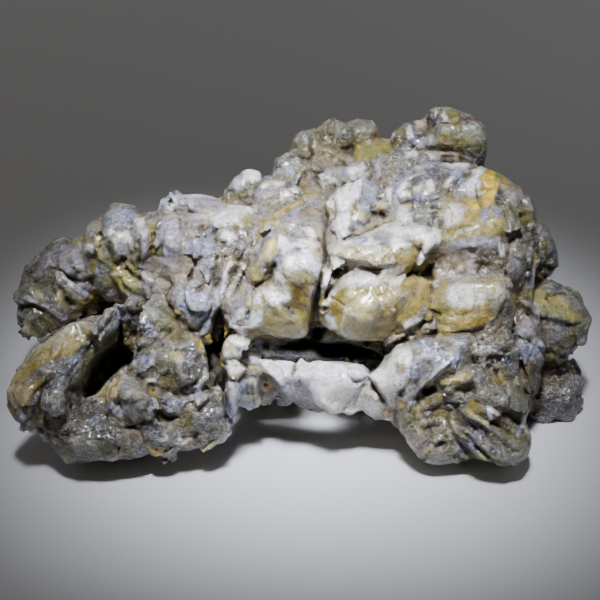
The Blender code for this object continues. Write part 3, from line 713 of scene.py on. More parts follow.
BACK_TOP_DETAIL = """
patch ball olive 0.4 0.8 350: 230,188 233,178 241,170 249,168 261,172 262,183 255,192 253,200 240,202 231,197
patch ball_top white 0.4 0.3 190: 240,172 249,168 261,172 263,181 252,182 243,180
patch ball_side pink 0 0 0: 231,186 235,178 242,176 246,186 238,192
groove ball_seam 0.9 1.6: 245,175 254,175 262,178
groove ball_gap 1.8 2.6: 264,170 262,182 256,190 254,201
patch oval_front pink 1 0.9 190: 256,191 262,185 272,184 280,188 283,196 276,202 264,203 257,198
patch oval_olive tan 0 0 0: 258,197 268,196 280,194 276,202 264,203
patch frost_ledge white 0.8 0.4 185: 260,186 270,180 285,180 284,186 272,184 264,188
patch bright_ledge white 1 0.5 180: 279,191 290,187 298,187 297,193 286,196 280,200
patch pebbles blue 0.4 0.6 180: 262,170 270,166 277,170 276,179 266,178
groove pebble_gap 1.2 2.2: 268,166 270,174 277,180
patch step_high grey 0.6 0.8 190: 277,170 284,160 292,155 301,158 308,166 307,174 298,182 286,184 279,179
patch step_blue blue 0 0 0: 284,164 292,164 293,172 286,174
patch step_olive olive 0 0 0: 294,164 304,164 306,174 296,176
groove step_right 1.4 2: 308,158 309,170 312,180
patch step_foot tan 0.2 0.2 180: 304,183 314,180 319,188 308,192
ridge gold_ridge 1 3: 281,214 292,205 305,197 319,190
patch ridge_gold ochre 0 0 0: 278,215 290,204 306,195 320,188 320,193 306,200 284,215
patch ridge_blue blue 0 0.2 180: 290,210 304,201 320,195 318,199 304,206
groove ridge_gap 1.2 2: 286,213 298,206 310,200 322,196
patch dark_corner tan -0.2 0 0: 274,204 284,202 282,210 274,211
patch knob_1 olive 0.6 0.8 190: 292,150 295,134 301,128 308,129 311,138 308,156 300,156
patch knob_1_low olive 0.3 0.6 180: 292,146 304,144 312,150 306,158 297,156
groove knob_gap 1.4 2: 312,130 311,142 310,156 307,164
patch knob_2 olive 0.6 0.8 190: 314,130 325,122 340,120 348,126 348,138 340,144 328,145 316,143
patch knob_2_pale olive 0.4 0.5 190: 327,124 336,124 338,136 328,136
groove knob_2_seam_1 1.3 2.2: 326,122 325,134 318,142
groove knob_2_seam_2 1.3 2.2: 339,122 341,134 348,142
patch knob_3 olive 0.8 0.9 200: 351,134 352,123 360,118 368,122 370,133 362,140 353,141
groove knob_3_gap 1.2 2: 349,122 350,136 352,148
patch light_block tan 0.6 0.7 190: 309,168 312,155 322,146 335,142 346,145 342,158 330,165 320,172
patch light_block_tan tan 0.5 0.6 200: 338,146 350,146 354,158 344,162 336,160
patch light_block_low olive 0 0 0: 310,166 324,162 334,162 320,172 311,172
groove light_block_gap 1.2 2: 310,172 322,172 334,165 352,161
patch lime_block lime 0.8 0.9 190: 353,143 362,137 378,137 390,147 385,156 370,158 360,160 354,155
patch lime_pale lime 0.3 0.2 240: 353,144 360,142 362,158 356,158
groove lime_seam 0.8 1.6: 372,140 380,146 387,152
groove lime_right 1.2 1.8: 391,140 392,150 384,158
patch small_brown rust 0.2 0.3 190: 370,126 380,126 388,136 376,136
patch lavender blue 0.7 0.8 190: 318,182 324,169 337,163 354,161 360,168 346,178 335,184 322,186
patch lavender_spot_1 white 0.6 0.3 190: 318,174 323,172 325,178 320,180
patch lavender_spot_2 white 0.5 0.3 190: 326,177 334,176 336,181 328,182
patch lavender_tan blue 0.2 0.2 190: 326,168 336,165 340,172 330,175
groove lavender_gap 1.4 2: 313,172 316,182 321,190 322,202
patch ridge_white white 1.2 1 240: 335,198 339,184 348,168 358,163 364,170 362,192 352,208 342,216
patch ridge_cream white 0.6 0.6 200: 352,168 362,163 369,172 366,186 358,182
patch ridge_bright white 1.2 0.8 200: 339,220 350,214 356,220 352,236 344,240 339,232
patch ridge_dark blue -0.4 0.8 270: 364,172 372,180 376,198 378,216 368,214 360,204 364,190
patch ridge_fang cream 1.2 0.6 240: 360,214 364,208 369,220 366,226 360,222
patch ridge_rust pink -0.2 0 0: 352,222 362,222 376,216 380,222 362,232 352,236
patch ridge_peach tan 0.5 0 0: 340,186 347,172 350,174 343,190
groove ridge_left 1.4 2: 334,186 334,200 337,214 336,226
groove ridge_vein_1 1 1.8: 354,176 350,192 344,204 340,218
groove ridge_vein_2 1.2 2: 362,178 363,194 356,208 352,222
groove ridge_vein_3 1 1.6: 369,184 371,200 374,216
ridge ridge_spine 1.2 3.6: 357,184 358,196 350,212
patch grit_column pink 0.2 0.4 200: 370,156 384,156 384,176 380,190 374,176
groove grit_column_gap 1.4 2: 368,160 374,172 378,186 378,204
patch rock_brown rust -0.2 0 0: 379,176 386,178 386,190 380,188
patch pebble grey 0.8 0.9 200: 384,158 400,148 411,143 417,152 412,164 400,176 390,181 384,172
patch pebble_tan tan 0 0.2 270: 383,158 394,156 392,176 388,181 382,170
patch pebble_shine white 0.2 0.2 200: 400,148 410,144 414,152 404,156
groove pebble_under 1.4 2: 418,150 414,164 402,177 392,184
patch bead grey 1.4 0.6 190: 378,192 383,189 386,194 382,198 378,197
patch peach_bead peach 1.8 0.8 190: 378,204 383,200 389,204 387,209 380,209
pit bead_slit 4: 380,211 387,212 390,217 385,220
patch column blue 0.8 0.8 250: 390,188 398,188 399,216 391,217
groove column_line_1 0.9 1.4: 393,190 394,216
groove column_line_2 0.9 1.4: 396,190 397,216
patch column_white white 0.8 0.4 200: 386,188 392,186 392,200 387,199
patch island_1 white 0.8 0.4 190: 396,192 400,182 410,175 424,171 428,175 414,180 406,188 402,198
patch mosaic_dark_1 slate -0.4 0 0: 406,180 420,174 430,173 424,180 412,184
patch mosaic_dark_2 slate -0.4 0 0: 410,196 422,192 432,194 430,204 414,200
patch island_2 white 0.8 0.4 190: 424,181 431,178 434,190 426,193
patch island_3 white 0.8 0.4 190: 443,184 452,176 455,180 447,190 443,189
patch island_4 white 0.7 0.4 190: 400,190 411,190 412,198 404,200
patch island_5 white 0.5 0.4 190: 412,186 420,184 421,190 414,191
patch mosaic_dark_3 ink -0.5 0 0: 436,176 444,172 446,180 440,190 436,192
patch mosaic_dark_4 ink -0.4 0 0: 452,182 460,178 456,188 448,194
patch mosaic_pale white 0.4 0.3 190: 438,160 452,158 468,163 464,170 448,170
groove mosaic_line 1.6 2: 433,160 434,172 434,182 437,194
groove mosaic_crack_1 1.2 2: 398,196 406,186 418,180 430,178
groove mosaic_crack_2 1.2 2: 400,204 414,200 428,204 440,198
groove mosaic_crack_3 1.1 1.8: 414,164 424,162 440,156 456,156
groove mosaic_crack_4 1.1 1.8: 444,196 456,188 466,182 476,172
patch orange_dot gold 0.4 0 0: 408,203 414,202 415,206 409,207
"""
RIGHT_DETAIL = """
patch peak_left grey 0.6 0.8 190: 396,140 402,128 412,121 422,116 426,126 420,138 404,142
patch peak_spot peach 0.4 0.4 190: 414,120 421,116 427,120 422,126 415,126
patch peak_column white 0.7 0.5 240: 404,126 409,123 412,134 406,136
patch peak_streak blue 0.4 0.3 190: 404,138 420,136 430,144 418,145 406,142
groove peak_gap_1 1.6 2.4: 399,130 402,138 398,146
groove peak_gap_2 1.6 2.4: 428,116 428,128 420,136 412,138
groove peak_gap_3 0.8 1.8: 428,120 440,122 456,124 462,118
patch peak_dark ink 0.2 0.4 190: 428,118 438,114 440,122 430,126
patch peak_white white 0.8 0.5 200: 440,113 446,110 449,118 444,122
patch peak_yellow lime 0.8 0.7 200: 447,109 457,107 462,115 455,122 449,119
patch peak_brown rust 0.4 0.4 190: 460,117 472,119 480,124 472,129 461,126
patch peak_grey pink 0.7 0.8 240: 424,134 434,128 438,132 438,144 428,146
patch peak_cap lime 0.9 0.6 200: 433,131 445,125 456,127 459,138 450,146 438,143
patch peak_gold ochre 0 0 0: 438,132 448,130 450,139 442,140
patch peak_side lime 0.4 0.8 270: 459,128 479,125 484,140 481,154 466,152 457,146
patch peak_side_low olive 0 0 0: 462,144 478,142 482,154 466,152
groove peak_under 0.9 2: 418,146 430,149 446,148 462,154 480,158
patch under_peak white 0.4 0.6 190: 424,150 440,150 456,152 454,158 430,158
patch shoulder_ridge white 0.8 0.8 200: 470,172 480,163 491,159 497,166 486,168 478,176
patch shoulder_pale white 0.4 0.4 200: 464,186 472,172 480,172 480,192 474,200 466,198
patch orange gold 0.4 0.5 200: 478,177 485,170 494,170 495,181 498,190 494,205 488,212 483,203 480,190
patch orange_pale gold 0.3 0.2 200: 484,186 492,184 492,196 486,197
patch black_spot ink -0.3 0.4 270: 494,200 497,191 502,188 507,195 505,206 500,211 495,208
patch spot_foot blue 0.3 0.3 200: 489,212 500,211 504,217 502,222 492,218
groove shoulder_seam_1 1 1.4: 499,168 500,180 500,192
groove shoulder_seam_2 1.4 2.2: 503,210 505,222 508,232
patch shoulder_blue blue 0.4 0.4 200: 500,172 508,174 516,184 508,184
groove shoulder_fold 1.2 2: 478,176 474,188 478,202 480,212
patch slope olive 0.6 1 240: 506,192 516,190 526,196 533,206 537,220 536,230 520,236 508,240 506,222
patch slope_pale pink 0.2 0.2 220: 508,190 518,190 526,200 516,206 509,202
groove slope_crease 1 1.6: 512,240 513,226 518,219 528,217
groove slope_crease_2 1.2 2: 516,192 520,204 530,210
groove brown_gap_right 1.4 2.4: 500,248 508,244 517,239 526,233 537,229
patch gap_stones rust 0 0 0: 502,240 514,236 518,242 510,250 502,248
patch yellow_face cream 0.4 0.6 200: 440,212 450,200 464,200 476,206 482,222 502,236 504,244 488,248 468,250
    450,248 442,236
patch yellow_1 white 0.2 0.3 200: 443,214 450,206 458,206 464,212 460,222 450,228 444,224
patch yellow_2 gold 0 0 0: 468,204 476,203 480,212 472,216
patch yellow_spot rust -0.3 0 0: 439,221 443,222 443,229 439,229
groove yellow_seam 0.9 1.8: 446,204 452,214 450,226 444,238
groove yellow_seam_2 0.8 1.8: 482,212 490,226 504,234
patch blue_shard blue 0.8 0.4 200: 453,195 459,190 463,197 457,202
patch grey_wedge grey 0.6 0.6 200: 416,206 430,204 440,210 438,226 428,230 418,220
groove wedge_gap 1.4 2.2: 432,206 434,218 430,232
patch orange_band pink 0 0 0: 438,250 454,243 478,242 502,242 502,252 470,254 446,259
patch rough_patch pink -0.2 0.4 180: 437,263 446,256 462,253 480,250 499,252 502,264 500,276 484,281 468,284
    454,285 442,280
patch patch_pink tan 0 0.2 180: 474,252 498,252 500,272 486,278 476,268
patch patch_tan white 0 0 0: 466,262 474,262 476,276 468,276
patch crumb_1 pink 0.7 0.5 190: 457,268 462,264 467,268 464,274 458,274
patch crumb_2 pink 0.7 0.5 190: 438,274 443,272 445,278 440,280
patch crumb_3 pink 0.7 0.5 190: 432,282 438,281 440,287 434,288
patch crumb_4 pink 0.6 0.5 190: 446,266 452,266 452,271 447,272
groove patch_top 0.3 1.2: 438,260 450,254 466,252 482,248 498,249
groove patch_pit 0.8 1.8: 450,258 452,266 448,276
groove patch_crack 1.2 2: 480,254 482,266 476,276
patch white_pin white 0.9 0.4 250: 497,246 503,246 505,260 500,262
patch column_top tan 0.9 0.8 240: 514,239 526,237 528,252 522,262 513,258
patch column_mid tan 0.8 0.8 240: 506,262 522,262 526,270 524,284 514,292 505,290
patch column_shine pink 0.2 0.2 240: 510,264 522,264 522,280 512,282
groove column_crack 1.6 2.2: 509,250 507,264 505,278 502,294
patch column_red rust 0.2 0.2 240: 501,284 510,286 508,300 500,304
step column_edge -1.6 4: 529,236 528,262 525,286 514,304
patch far_small olive 0.6 0.8 300: 537,234 549,232 553,244 546,260 538,268 533,260
groove far_small_gap 1.6 2.6: 538,268 546,262 554,250
patch far_blade grey 0.8 0.6 300: 540,276 545,266 553,261 550,274
patch block_face cream 0.7 0.9 190: 428,312 438,294 446,286 476,282 502,286 504,302 494,320 476,328 446,331
    426,326
patch block_white white 0 0.2 190: 450,287 476,286 482,296 474,305 454,305 446,297
patch block_left lime 0 0 0: 425,306 438,295 446,300 446,318 434,328 424,322
patch block_brown tan 0 0 0: 488,300 506,296 508,312 494,328 480,330 486,316
patch block_gold ochre 0 0 0: 452,318 476,312 492,308 494,318 476,326 456,328
groove block_line_1 0.4 1.4: 438,298 456,302 476,300 500,302
groove block_line_2 0.4 1.4: 434,310 452,314 474,312 496,314
groove block_line_3 1 1.8: 470,286 474,298 472,312
step block_top 1 3: 428,300 440,289 456,285 482,283 506,286
groove block_under 0.7 1.6: 430,324 446,331 464,330 480,331 496,325
"""
# The rear foot's umber patch is painted shadow.
RIGHT_FOOT_DETAIL = """
patch far_top lime 0.4 0.6 190: 526,292 540,286 560,295 576,309 586,321 574,326 552,318 534,306
patch far_ochre ochre 0 0 0: 544,292 560,297 574,309 566,312 548,303
patch far_chip pink 0.9 0.5 200: 520,303 530,302 546,318 532,316 521,311
groove far_crack 1.2 1.6: 519,306 533,317 548,321 562,323 575,329
patch far_centre pink 0.7 0.8 190: 512,326 521,316 544,322 574,331 562,340 546,351 530,342 514,336
patch far_shine grey 0 0.2 190: 528,324 546,326 556,334 544,344 532,336
patch far_low blue 0.4 0.6 200: 512,339 530,343 545,351 542,362 526,359 515,351
patch far_vein ink 0 0 0: 519,304 533,314 548,318 562,320 577,326 575,331 560,326 546,324 532,319 518,309
patch back_foot_face umber 0 0 0: 532,376 560,368 592,374 594,420 580,434 536,434
groove far_crack_2 1.3 2: 513,336 530,342 540,350 548,359
groove far_crack_3 0.9 1.6: 520,352 528,354 536,362
patch far_side olive 0.2 0.6 270: 574,330 586,323 585,346 579,357 562,352
patch far_bottom olive -0.4 0.8 0: 526,364 544,360 562,348 578,352 578,360 560,369 536,374
groove far_bottom_fold 1.2 2.4: 532,378 546,366 562,360 580,350
groove far_left_edge 1.4 2.4: 517,300 514,316 508,330 506,346
groove back_foot_fold 1.2 2.4: 540,406 556,398 572,394 588,396
patch chips_1 pink 0.9 0.5 190: 386,343 394,336 408,329 423,330 412,339 396,345
patch chips_2 white 1 0.5 190: 404,323 416,313 425,316 416,326 406,330
patch chips_3 white 0.8 0.5 190: 391,344 404,343 402,350 393,353
patch chips_4 white 0.7 0.4 190: 424,322 436,316 440,326 428,332
groove chips_gap_1 1.6 2.4: 392,344 406,338 416,339 428,333 440,331
groove chips_gap_2 1.4 2: 396,334 410,328 420,324 426,316
patch crust_1 tan 0.4 0.6 190: 440,336 456,332 476,330 494,340 500,354 482,357 458,351 442,348
patch crust_white blue 0.4 0.3 190: 450,338 464,334 474,340 468,346 454,346
patch crust_peach tan 0 0 0: 484,350 496,350 497,362 488,360
patch crust_blue blue 0.4 0.4 190: 424,338 438,334 446,340 440,350 428,348
patch crust_tan tan 0.3 0.2 190: 410,346 424,346 426,352 416,357
patch plates_1 grey 0.8 0.5 190: 476,337 490,330 500,332 494,340 480,344
patch plates_2 grey 0.6 0.5 190: 488,342 502,336 510,342 502,350 490,348
groove plates_gap 1.6 2.4: 474,334 486,344 500,352 508,350
patch plates_3 slate 0.9 0.5 220: 505,330 512,328 514,342 508,345
patch white_block white 0.8 0.9 210: 372,377 382,363 398,349 409,346 415,351 412,366 409,381 404,386 396,396
    389,402 380,390
patch block_cream cream 0 0 0: 398,362 408,362 406,374 398,374
patch block_blue white 0 0 0: 373,378 380,374 384,392 380,392
groove block_right 1.2 1.8: 418,348 413,360 411,376 406,386 398,398
groove block_left_seam 1.6 2.2: 368,374 374,386 382,396 388,404
patch fold_outer blue 0.9 0.8 240: 410,380 412,364 419,355 432,350 446,351 436,358 424,362 419,376
patch fold_dimple pink -0.5 0.4 200: 419,364 426,358 434,362 432,372 422,374
patch fold_crystals pink 0.2 0.4 190: 416,374 428,372 426,382 416,386
ridge blade_1 1.4 4: 410,408 414,394 426,381 440,369 456,359
patch blade_white white 0.3 0.2 210: 428,378 438,366 452,358 450,366 440,374 430,384
patch blade_blue blue 0.3 0.3 240: 407,410 410,396 420,386 424,390 416,402
groove blade_groove 1.2 1.8: 418,392 430,381 444,369 456,362
groove blade_groove_2 1 1.6: 428,362 440,356 452,352
patch swirl_top pink 0.4 0.6 190: 450,368 462,361 476,363 472,370 458,374
patch swirl_gold ochre 0.3 0.6 180: 434,384 446,378 462,373 478,368 478,376 462,382 446,386
patch swirl_olive olive -0.4 0.6 0: 426,390 438,385 456,384 474,378 474,390 458,394 440,392
pit swirl_pit 2.5: 452,388 462,385 474,381 476,390 466,396 454,395
groove swirl_groove 1.2 2: 420,392 438,391 452,396 468,397
patch brown_fold olive 0.4 0.5 200: 420,398 434,394 450,397 446,404 430,410 421,408
patch blue_blob grey 0.9 0.4 200: 452,400 460,398 464,402 456,406
patch white_blob grey 0.8 0.5 200: 444,406 458,406 460,412 448,414
groove brown_groove 1.6 2.6: 418,412 430,412 446,404 460,405
patch pink_block grey 0.9 0.9 240: 474,382 477,364 484,358 491,363 493,376 500,386 505,397 502,409 488,405
    476,400
patch pink_white grey 0.3 0.3 240: 478,362 488,362 490,376 480,378
patch pink_green_1 olive -0.5 0 0: 485,385 492,384 493,391 486,392
patch pink_green_2 olive -0.6 0 0: 481,399 489,399 488,405 482,404
groove pink_left 1.4 2.2: 479,356 473,370 474,384 472,398
groove side_groove 1.4 2.4: 490,354 495,370 502,386 508,402 514,418
patch side_band olive 0.4 0.8 250: 500,352 510,358 518,372 528,392 530,416 518,416 508,392
patch side_white_1 grey 0.6 0.4 240: 506,360 513,360 516,376 508,376
patch side_white_2 grey 0.6 0.3 240: 513,378 524,380 524,386 514,385
patch side_dark ink 0 0 0: 499,356 512,352 514,360 502,364
groove side_groove_2 1.4 2.2: 516,356 524,372 532,392 534,408
patch olive_bed olive 0.5 0.8 200: 424,414 438,408 446,414 450,422 440,428 428,426
patch toe_green olive 0.6 0.9 210: 394,418 405,408 418,412 426,426 424,444 414,450 402,440
patch toe_lime olive 0 0 0: 402,414 412,412 416,422 408,430 400,424
patch toe_brown rust -0.3 0 0: 422,428 432,424 432,442 424,448 416,452
pit toe_hole 2: 430,426 438,424 444,427 438,431 431,431
patch toe_white olive 0.6 0.6 200: 432,432 446,428 452,440 456,452 446,460 434,456
patch toe_rim olive 0.4 0.6 180: 404,446 418,450 432,457 452,462 478,468 462,472 430,464 410,455
patch toe_cream tan 0.6 0.5 200: 454,452 464,454 474,464 468,470 454,464
patch ring tan -0.6 0 0: 435,444 440,440 446,444 446,451 440,455 434,451
patch ring_stone grey 0.8 0.4 200: 438,446 442,445 444,449 440,452 437,450
groove toe_crease 1.3 2.2: 420,412 428,424 430,440 424,452
patch toe_ridge_1 olive 0.7 0.8 230: 448,420 455,411 464,424 470,436 460,438 453,432
patch toe_ridge_1_pale grey 0 0 0: 452,416 458,416 462,428 456,428
groove toe_gap_1 1.8 2.4: 446,418 451,434 461,446 471,457 480,467
ridge toe_ridge_2 1.8 5: 462,436 474,449 488,460
groove toe_gap_2 1.8 2.6: 462,430 474,444 486,454 500,462
ridge toe_ridge_3 1.8 5.5: 468,430 480,443 494,453 510,458
patch toe_ridge_3_pale grey 0 0 0: 476,434 488,440 498,450 488,450 478,443
groove toe_gap_3 1.8 2.6: 466,420 478,430 492,440 502,448
ridge toe_ridge_4 1.6 5: 464,414 482,422 500,432 514,444
patch toe_ridge_4_pale lime 0.2 0 0: 472,416 486,419 496,424 484,424
groove toe_gap_4 1.6 2.4: 474,414 490,421 506,430 516,436
ridge toe_ridge_5 1.4 5: 478,408 496,414 512,424
patch toe_green_spots olive 0.2 0 0: 496,434 508,436 514,446 502,446
patch toe_rust rust -0.2 0 0: 488,404 510,406 516,420 504,418
patch toe_knob olive 0.8 0.8 240: 514,438 522,436 527,444 525,455 516,456
patch toe_under olive -0.8 0.6 0: 482,462 500,458 524,458 522,468 496,471
groove toe_under_groove 1.2 2: 476,460 494,463 510,461 526,458
"""
# The rib's umber patch under the plate is painted shadow.
BRIDGE_DETAIL = """
pit slot_left 16: 252,341 256,336 312,338 314,345 296,348 280,347 262,347
pit slot_right 16: 314,341 330,342 350,341 370,348 384,358 380,366 370,374 364,363 352,360 338,359 324,358
    317,350
pit under_plate 5: 262,366 270,374 282,388 290,396 316,400 322,412 320,422 262,424 260,396
patch rib_dark umber 0 0 0: 264,374 284,392 314,402 322,414 300,412 270,400
patch rib_rim slate 0.8 0.6 200: 262,400 276,402 290,409 300,414 298,420 280,414 262,408
patch rib_crystals white 1 0.5 200: 302,411 316,409 322,415 312,418 302,417
patch roll white 0.8 0.9 200: 221,350 226,340 234,337 246,343 258,350 258,358 244,359 222,357
patch roll_peach peach 0.2 0.2 200: 223,346 226,341 234,344 234,349 225,350
patch roll_blue blue 0 0 0: 236,346 248,348 250,356 238,356
groove roll_gap 1.2 2.6: 226,360 236,358 248,361 262,362
patch grain_1 peach 0.8 0.2 200: 218,355 223,355 224,361 219,361
patch grain_2 cream 0.8 0.2 200: 217,363 223,364 223,369 218,369
patch blob white 1.2 0.9 190: 225,367 230,360 240,361 246,367 243,374 235,379 229,376
patch blob_low ochre 0 0 0: 228,374 238,372 245,372 240,380 232,381
groove blob_gap 1.8 2.6: 222,374 230,381 240,380 247,372
patch blue_crystals blue 0.4 0.6 200: 234,385 240,381 248,379 251,390 246,399 238,399 233,393
patch column_1 grey 0.8 0.6 240: 246,368 253,367 255,382 249,386
patch column_2 tan 0.9 0.7 240: 255,367 262,366 262,392 256,396 252,384
groove column_gap_1 1.6 2: 254,366 255,380 252,394
groove column_gap_2 1.8 2.4: 263,366 263,380 261,396
patch peach_block peach 0.8 0.6 200: 264,376 270,375 276,382 270,391 264,389
patch plate_white white 0.6 0.8 200: 256,354 264,348 290,349 313,348 320,356 318,378 298,374 284,386 270,371
    261,360
patch plate_pink pink 0.2 0.4 20: 284,386 290,376 314,378 317,396 300,398 289,394
patch plate_edge tan 0.2 0.3 60: 259,358 264,360 284,384 281,386 268,372
patch plate_blue_1 blue -0.2 0 0: 272,350 284,351 282,355 274,354
patch plate_blue_2 ink -0.2 0 0: 297,378 304,376 307,382 300,385
patch plate_brown tan -0.3 0 0: 296,360 301,358 299,370 295,374
groove plate_fold_1 0.4 2: 300,352 298,362 294,376 296,392
ridge plate_fold_2 1 4: 304,352 303,368 308,384
groove plate_fold_3 0.8 1.6: 270,358 284,364 290,376
patch thick white 0.8 0.9 210: 318,360 330,361 346,361 352,366 350,378 362,382 356,394 348,404 340,413
    330,415 323,402 318,384
patch thick_cream white 0 0 0: 332,380 344,380 346,392 336,396
patch thick_blue white 0 0 0: 320,362 324,364 324,376 320,378
patch knob white 1.2 0.9 200: 351,367 357,362 364,365 368,372 363,380 353,379
groove knob_ring 1.3 2: 350,364 350,374 355,382 364,382
groove thick_low 0.5 2: 366,384 356,394 349,404 342,414
patch joint white 0.5 0.6 200: 350,404 364,394 380,400 384,411 368,415 346,417
patch joint_rim olive 0 0.2 180: 326,414 346,417 372,415 388,414 384,419 350,422 332,419
patch joint_crystals_1 white 0.9 0.4 200: 364,390 370,387 374,394 368,398
patch joint_crystals_2 white 0.9 0.4 200: 373,393 379,391 382,399 376,402
patch joint_crystals_3 white 0.8 0.4 200: 380,400 392,398 394,406 384,408
groove joint_gap 0.7 2: 362,386 371,384 378,392 384,402
patch peach_crumb_1 peach 1.1 0.3 200: 396,401 403,399 404,407 398,408
patch peach_crumb_2 peach 1.1 0.3 200: 384,409 389,408 391,414 386,415
patch brown_gap tan -0.4 0 0: 398,390 406,386 404,396 396,398
"""
FRONT_ROWS = (
    LEFT_FOOT_DETAIL + LEFT_TOP_DETAIL + MIDDLE_DETAIL + BACK_TOP_DETAIL + RIGHT_DETAIL + RIGHT_FOOT_DETAIL
    + BRIDGE_DETAIL
)


def table_lines(text):
    """A table's rows. A long row goes on in indented lines, and a line that starts with # is a heading."""
    lines = text.replace("\n    ", " ").split("\n")
    return [line for line in lines if line and not line.startswith("#")]


def numbers(text):
    return tuple(float(number) for number in text.split(","))


def read_lumps(text):
    lumps = []
    for line in table_lines(text):
        name, centre, half, turn, power, mineral, rough, blend = line.split()
        shape = (numbers(centre), numbers(half), numbers(turn), float(power))
        lumps.append(Lump(name, *shape, mineral, float(rough), float(blend)))
    return lumps


def read_drawing(text):
    rows = []
    for line in table_lines(text):
        head, places = line.split(":")
        word, name, *values = head.split()
        points = [numbers(place) for place in places.split()]
        if word == "patch":
            mineral, *values = values
            rows.append(Patch(name, mineral, *[float(value) for value in values], points))
        elif word == "pit":
            rows.append(Pit(name, float(values[0]), points))
        else:
            rows.append(Line(name, word, *[float(value) for value in values], points))
    return rows


LUMPS = read_lumps(LUMP_ROWS)
HOLLOWS = read_lumps(HOLLOW_ROWS)


class Grid:
    """The box of points that the field is worked out on."""

    def __init__(self, low, high, step):
        self.step = step
        self.low = np.array(low, np.float32)
        self.axes = [np.arange(a, b, step, dtype=np.float32) for a, b in zip(low, high)]
        self.shape = tuple(len(axis) for axis in self.axes)

    def block(self, low, high):
        """The index ranges that cover a box, or None where the box misses the grid."""
        first = np.floor((np.array(low) - self.low) / self.step).astype(int)
        last = np.ceil((np.array(high) - self.low) / self.step).astype(int) + 1
        first = np.clip(first, 0, self.shape)
        last = np.clip(last, 0, self.shape)
        if (last <= first).any():
            return None
        return tuple(slice(a, b) for a, b in zip(first, last))

    def points(self, block):
        """The points of a block, as an array with x, y and z last."""
        parts = [axis[piece] for axis, piece in zip(self.axes, block)]
        return np.stack(np.meshgrid(*parts, indexing="ij"), axis=-1)

    def points_at(self, index):
        return np.stack([axis[i] for axis, i in zip(self.axes, index)], axis=1)

    def noise(self, size, seed):
        """Smooth noise on the whole grid, from -1 to 1: random values on a lattice, joined by splines."""
        knots = [int((axis[-1] - axis[0]) / size) + SPARE_KNOTS for axis in self.axes]
        values = np.random.default_rng(seed).uniform(-1.0, 1.0, knots).astype(np.float32)
        for axis in self.axes:
            weights = spline_weights((axis - axis[0]) / size + 1.0, values.shape[0])
            values = np.tensordot(values, weights, axes=(0, 1))
        return values

    def warp(self, noises):
        """A shift in x, y and z at each point, each with its own seed."""
        parts = []
        for axis in range(3):
            parts.append(sum(self.noise(size, seed + axis) * reach for size, reach, seed in noises))
        return np.stack(parts, axis=-1)

    def sample(self, field, points):
        """Reads a field between the grid's points."""
        at = np.clip((points - self.low) / self.step, 0, np.array(self.shape) - LAST_POINT)
        base = at.astype(int)
        part = (at - base).astype(np.float32)
        total = np.zeros(len(points), np.float32)
        for corner in np.ndindex(2, 2, 2):
            share = np.prod(np.where(corner, part, 1.0 - part), axis=1)
            index = base + corner
            total += share * field[index[:, 0], index[:, 1], index[:, 2]]
        return total


def spline_weights(at, count):
    """How much each knot of a row counts at each place: cubic B-splines, scaled to keep the noise strong."""
    distance = np.abs(at[:, None] - np.arange(count)[None, :])
    near = 2.0 / 3.0 - distance**2 + distance**3 / 2.0
    far = (2.0 - distance) ** 3 / 6.0
    weights = np.where(distance < 1.0, near, np.where(distance < 2.0, far, 0.0))
    return (weights * NOISE_GAIN).astype(np.float32)


class Cells:
    """Voronoi cells over the grid's box, each with a centre, a tilt, a height and a luck number."""

    def __init__(self, grid, size, seed):
        self.size = size
        self.low = grid.low - 2.0 * size
        high = [axis[-1] + 2.0 * size for axis in grid.axes]
        self.counts = np.ceil((np.array(high) - self.low) / size).astype(int) + 1
        rng = np.random.default_rng(seed)
        homes = np.stack(np.meshgrid(*[np.arange(n) for n in self.counts], indexing="ij"), axis=-1)
        homes = homes.reshape(-1, 3)
        self.centres = (homes + rng.uniform(0.0, 1.0, homes.shape)).astype(np.float32)
        self.tilts = rng.uniform(-1.0, 1.0, homes.shape).astype(np.float32)
        self.heights = rng.uniform(-0.5, 0.5, len(homes)).astype(np.float32)
        self.luck = rng.uniform(0.0, 1.0, len(homes)).astype(np.float32)

    def centres_in_mm(self):
        return self.centres * self.size + self.low

    def nearest(self, points):
        """The two nearest cells' distances in mm and their numbers."""
        at = ((points - self.low) / self.size).astype(np.float32)
        home = np.clip(at.astype(int), 1, self.counts - 2)
        strides = np.array([self.counts[1] * self.counts[2], self.counts[2], 1])
        number_home = home @ strides
        first = np.full(len(points), np.inf, np.float32)
        second = first.copy()
        number_1 = np.zeros(len(points), np.int64)
        number_2 = np.zeros(len(points), np.int64)
        for step in np.ndindex(3, 3, 3):
            number = number_home + (np.array(step) - 1) @ strides
            away = at - self.centres[number]
            distance = np.sqrt(np.einsum("ij,ij->i", away, away))
            closer = distance < first
            between = ~closer & (distance < second)
            second = np.where(closer, first, np.where(between, distance, second))
            number_2 = np.where(closer, number_1, np.where(between, number, number_2))
            first = np.where(closer, distance, first)
            number_1 = np.where(closer, number, number_1)
        return first * self.size, second * self.size, number_1, number_2

    def facets(self, points, slope, step, seam):
        """Broken facets: each cell is a tilted plane at its own height, and cells meet over a seam.

        Returns the facets' height, the gap to the cell's border and a luck number for each border."""
        first, second, number_1, number_2 = self.nearest(points)
        at = (points - self.low) / self.size
        heights = []
        for number in (number_1, number_2):
            away = (at - self.centres[number]) * self.size
            tilted = np.einsum("ij,ij->i", self.tilts[number], away)
            heights.append(tilted * slope + self.heights[number] * step)
        share = 0.5 + 0.5 * np.clip((second - first) / seam, 0.0, 1.0)
        border_luck = (self.luck[number_1] + self.luck[number_2]) % 1.0
        return heights[0] * share + heights[1] * (1.0 - share), second - first, border_luck


def smooth_step(value, low, high):
    share = np.clip((value - low) / (high - low), 0.0, 1.0)
    return share * share * (3.0 - 2.0 * share)


def smooth_union(one, other, blend):
    share = np.clip(0.5 + 0.5 * (other - one) / blend, 0.0, 1.0)
    return other + (one - other) * share - blend * share * (1.0 - share)


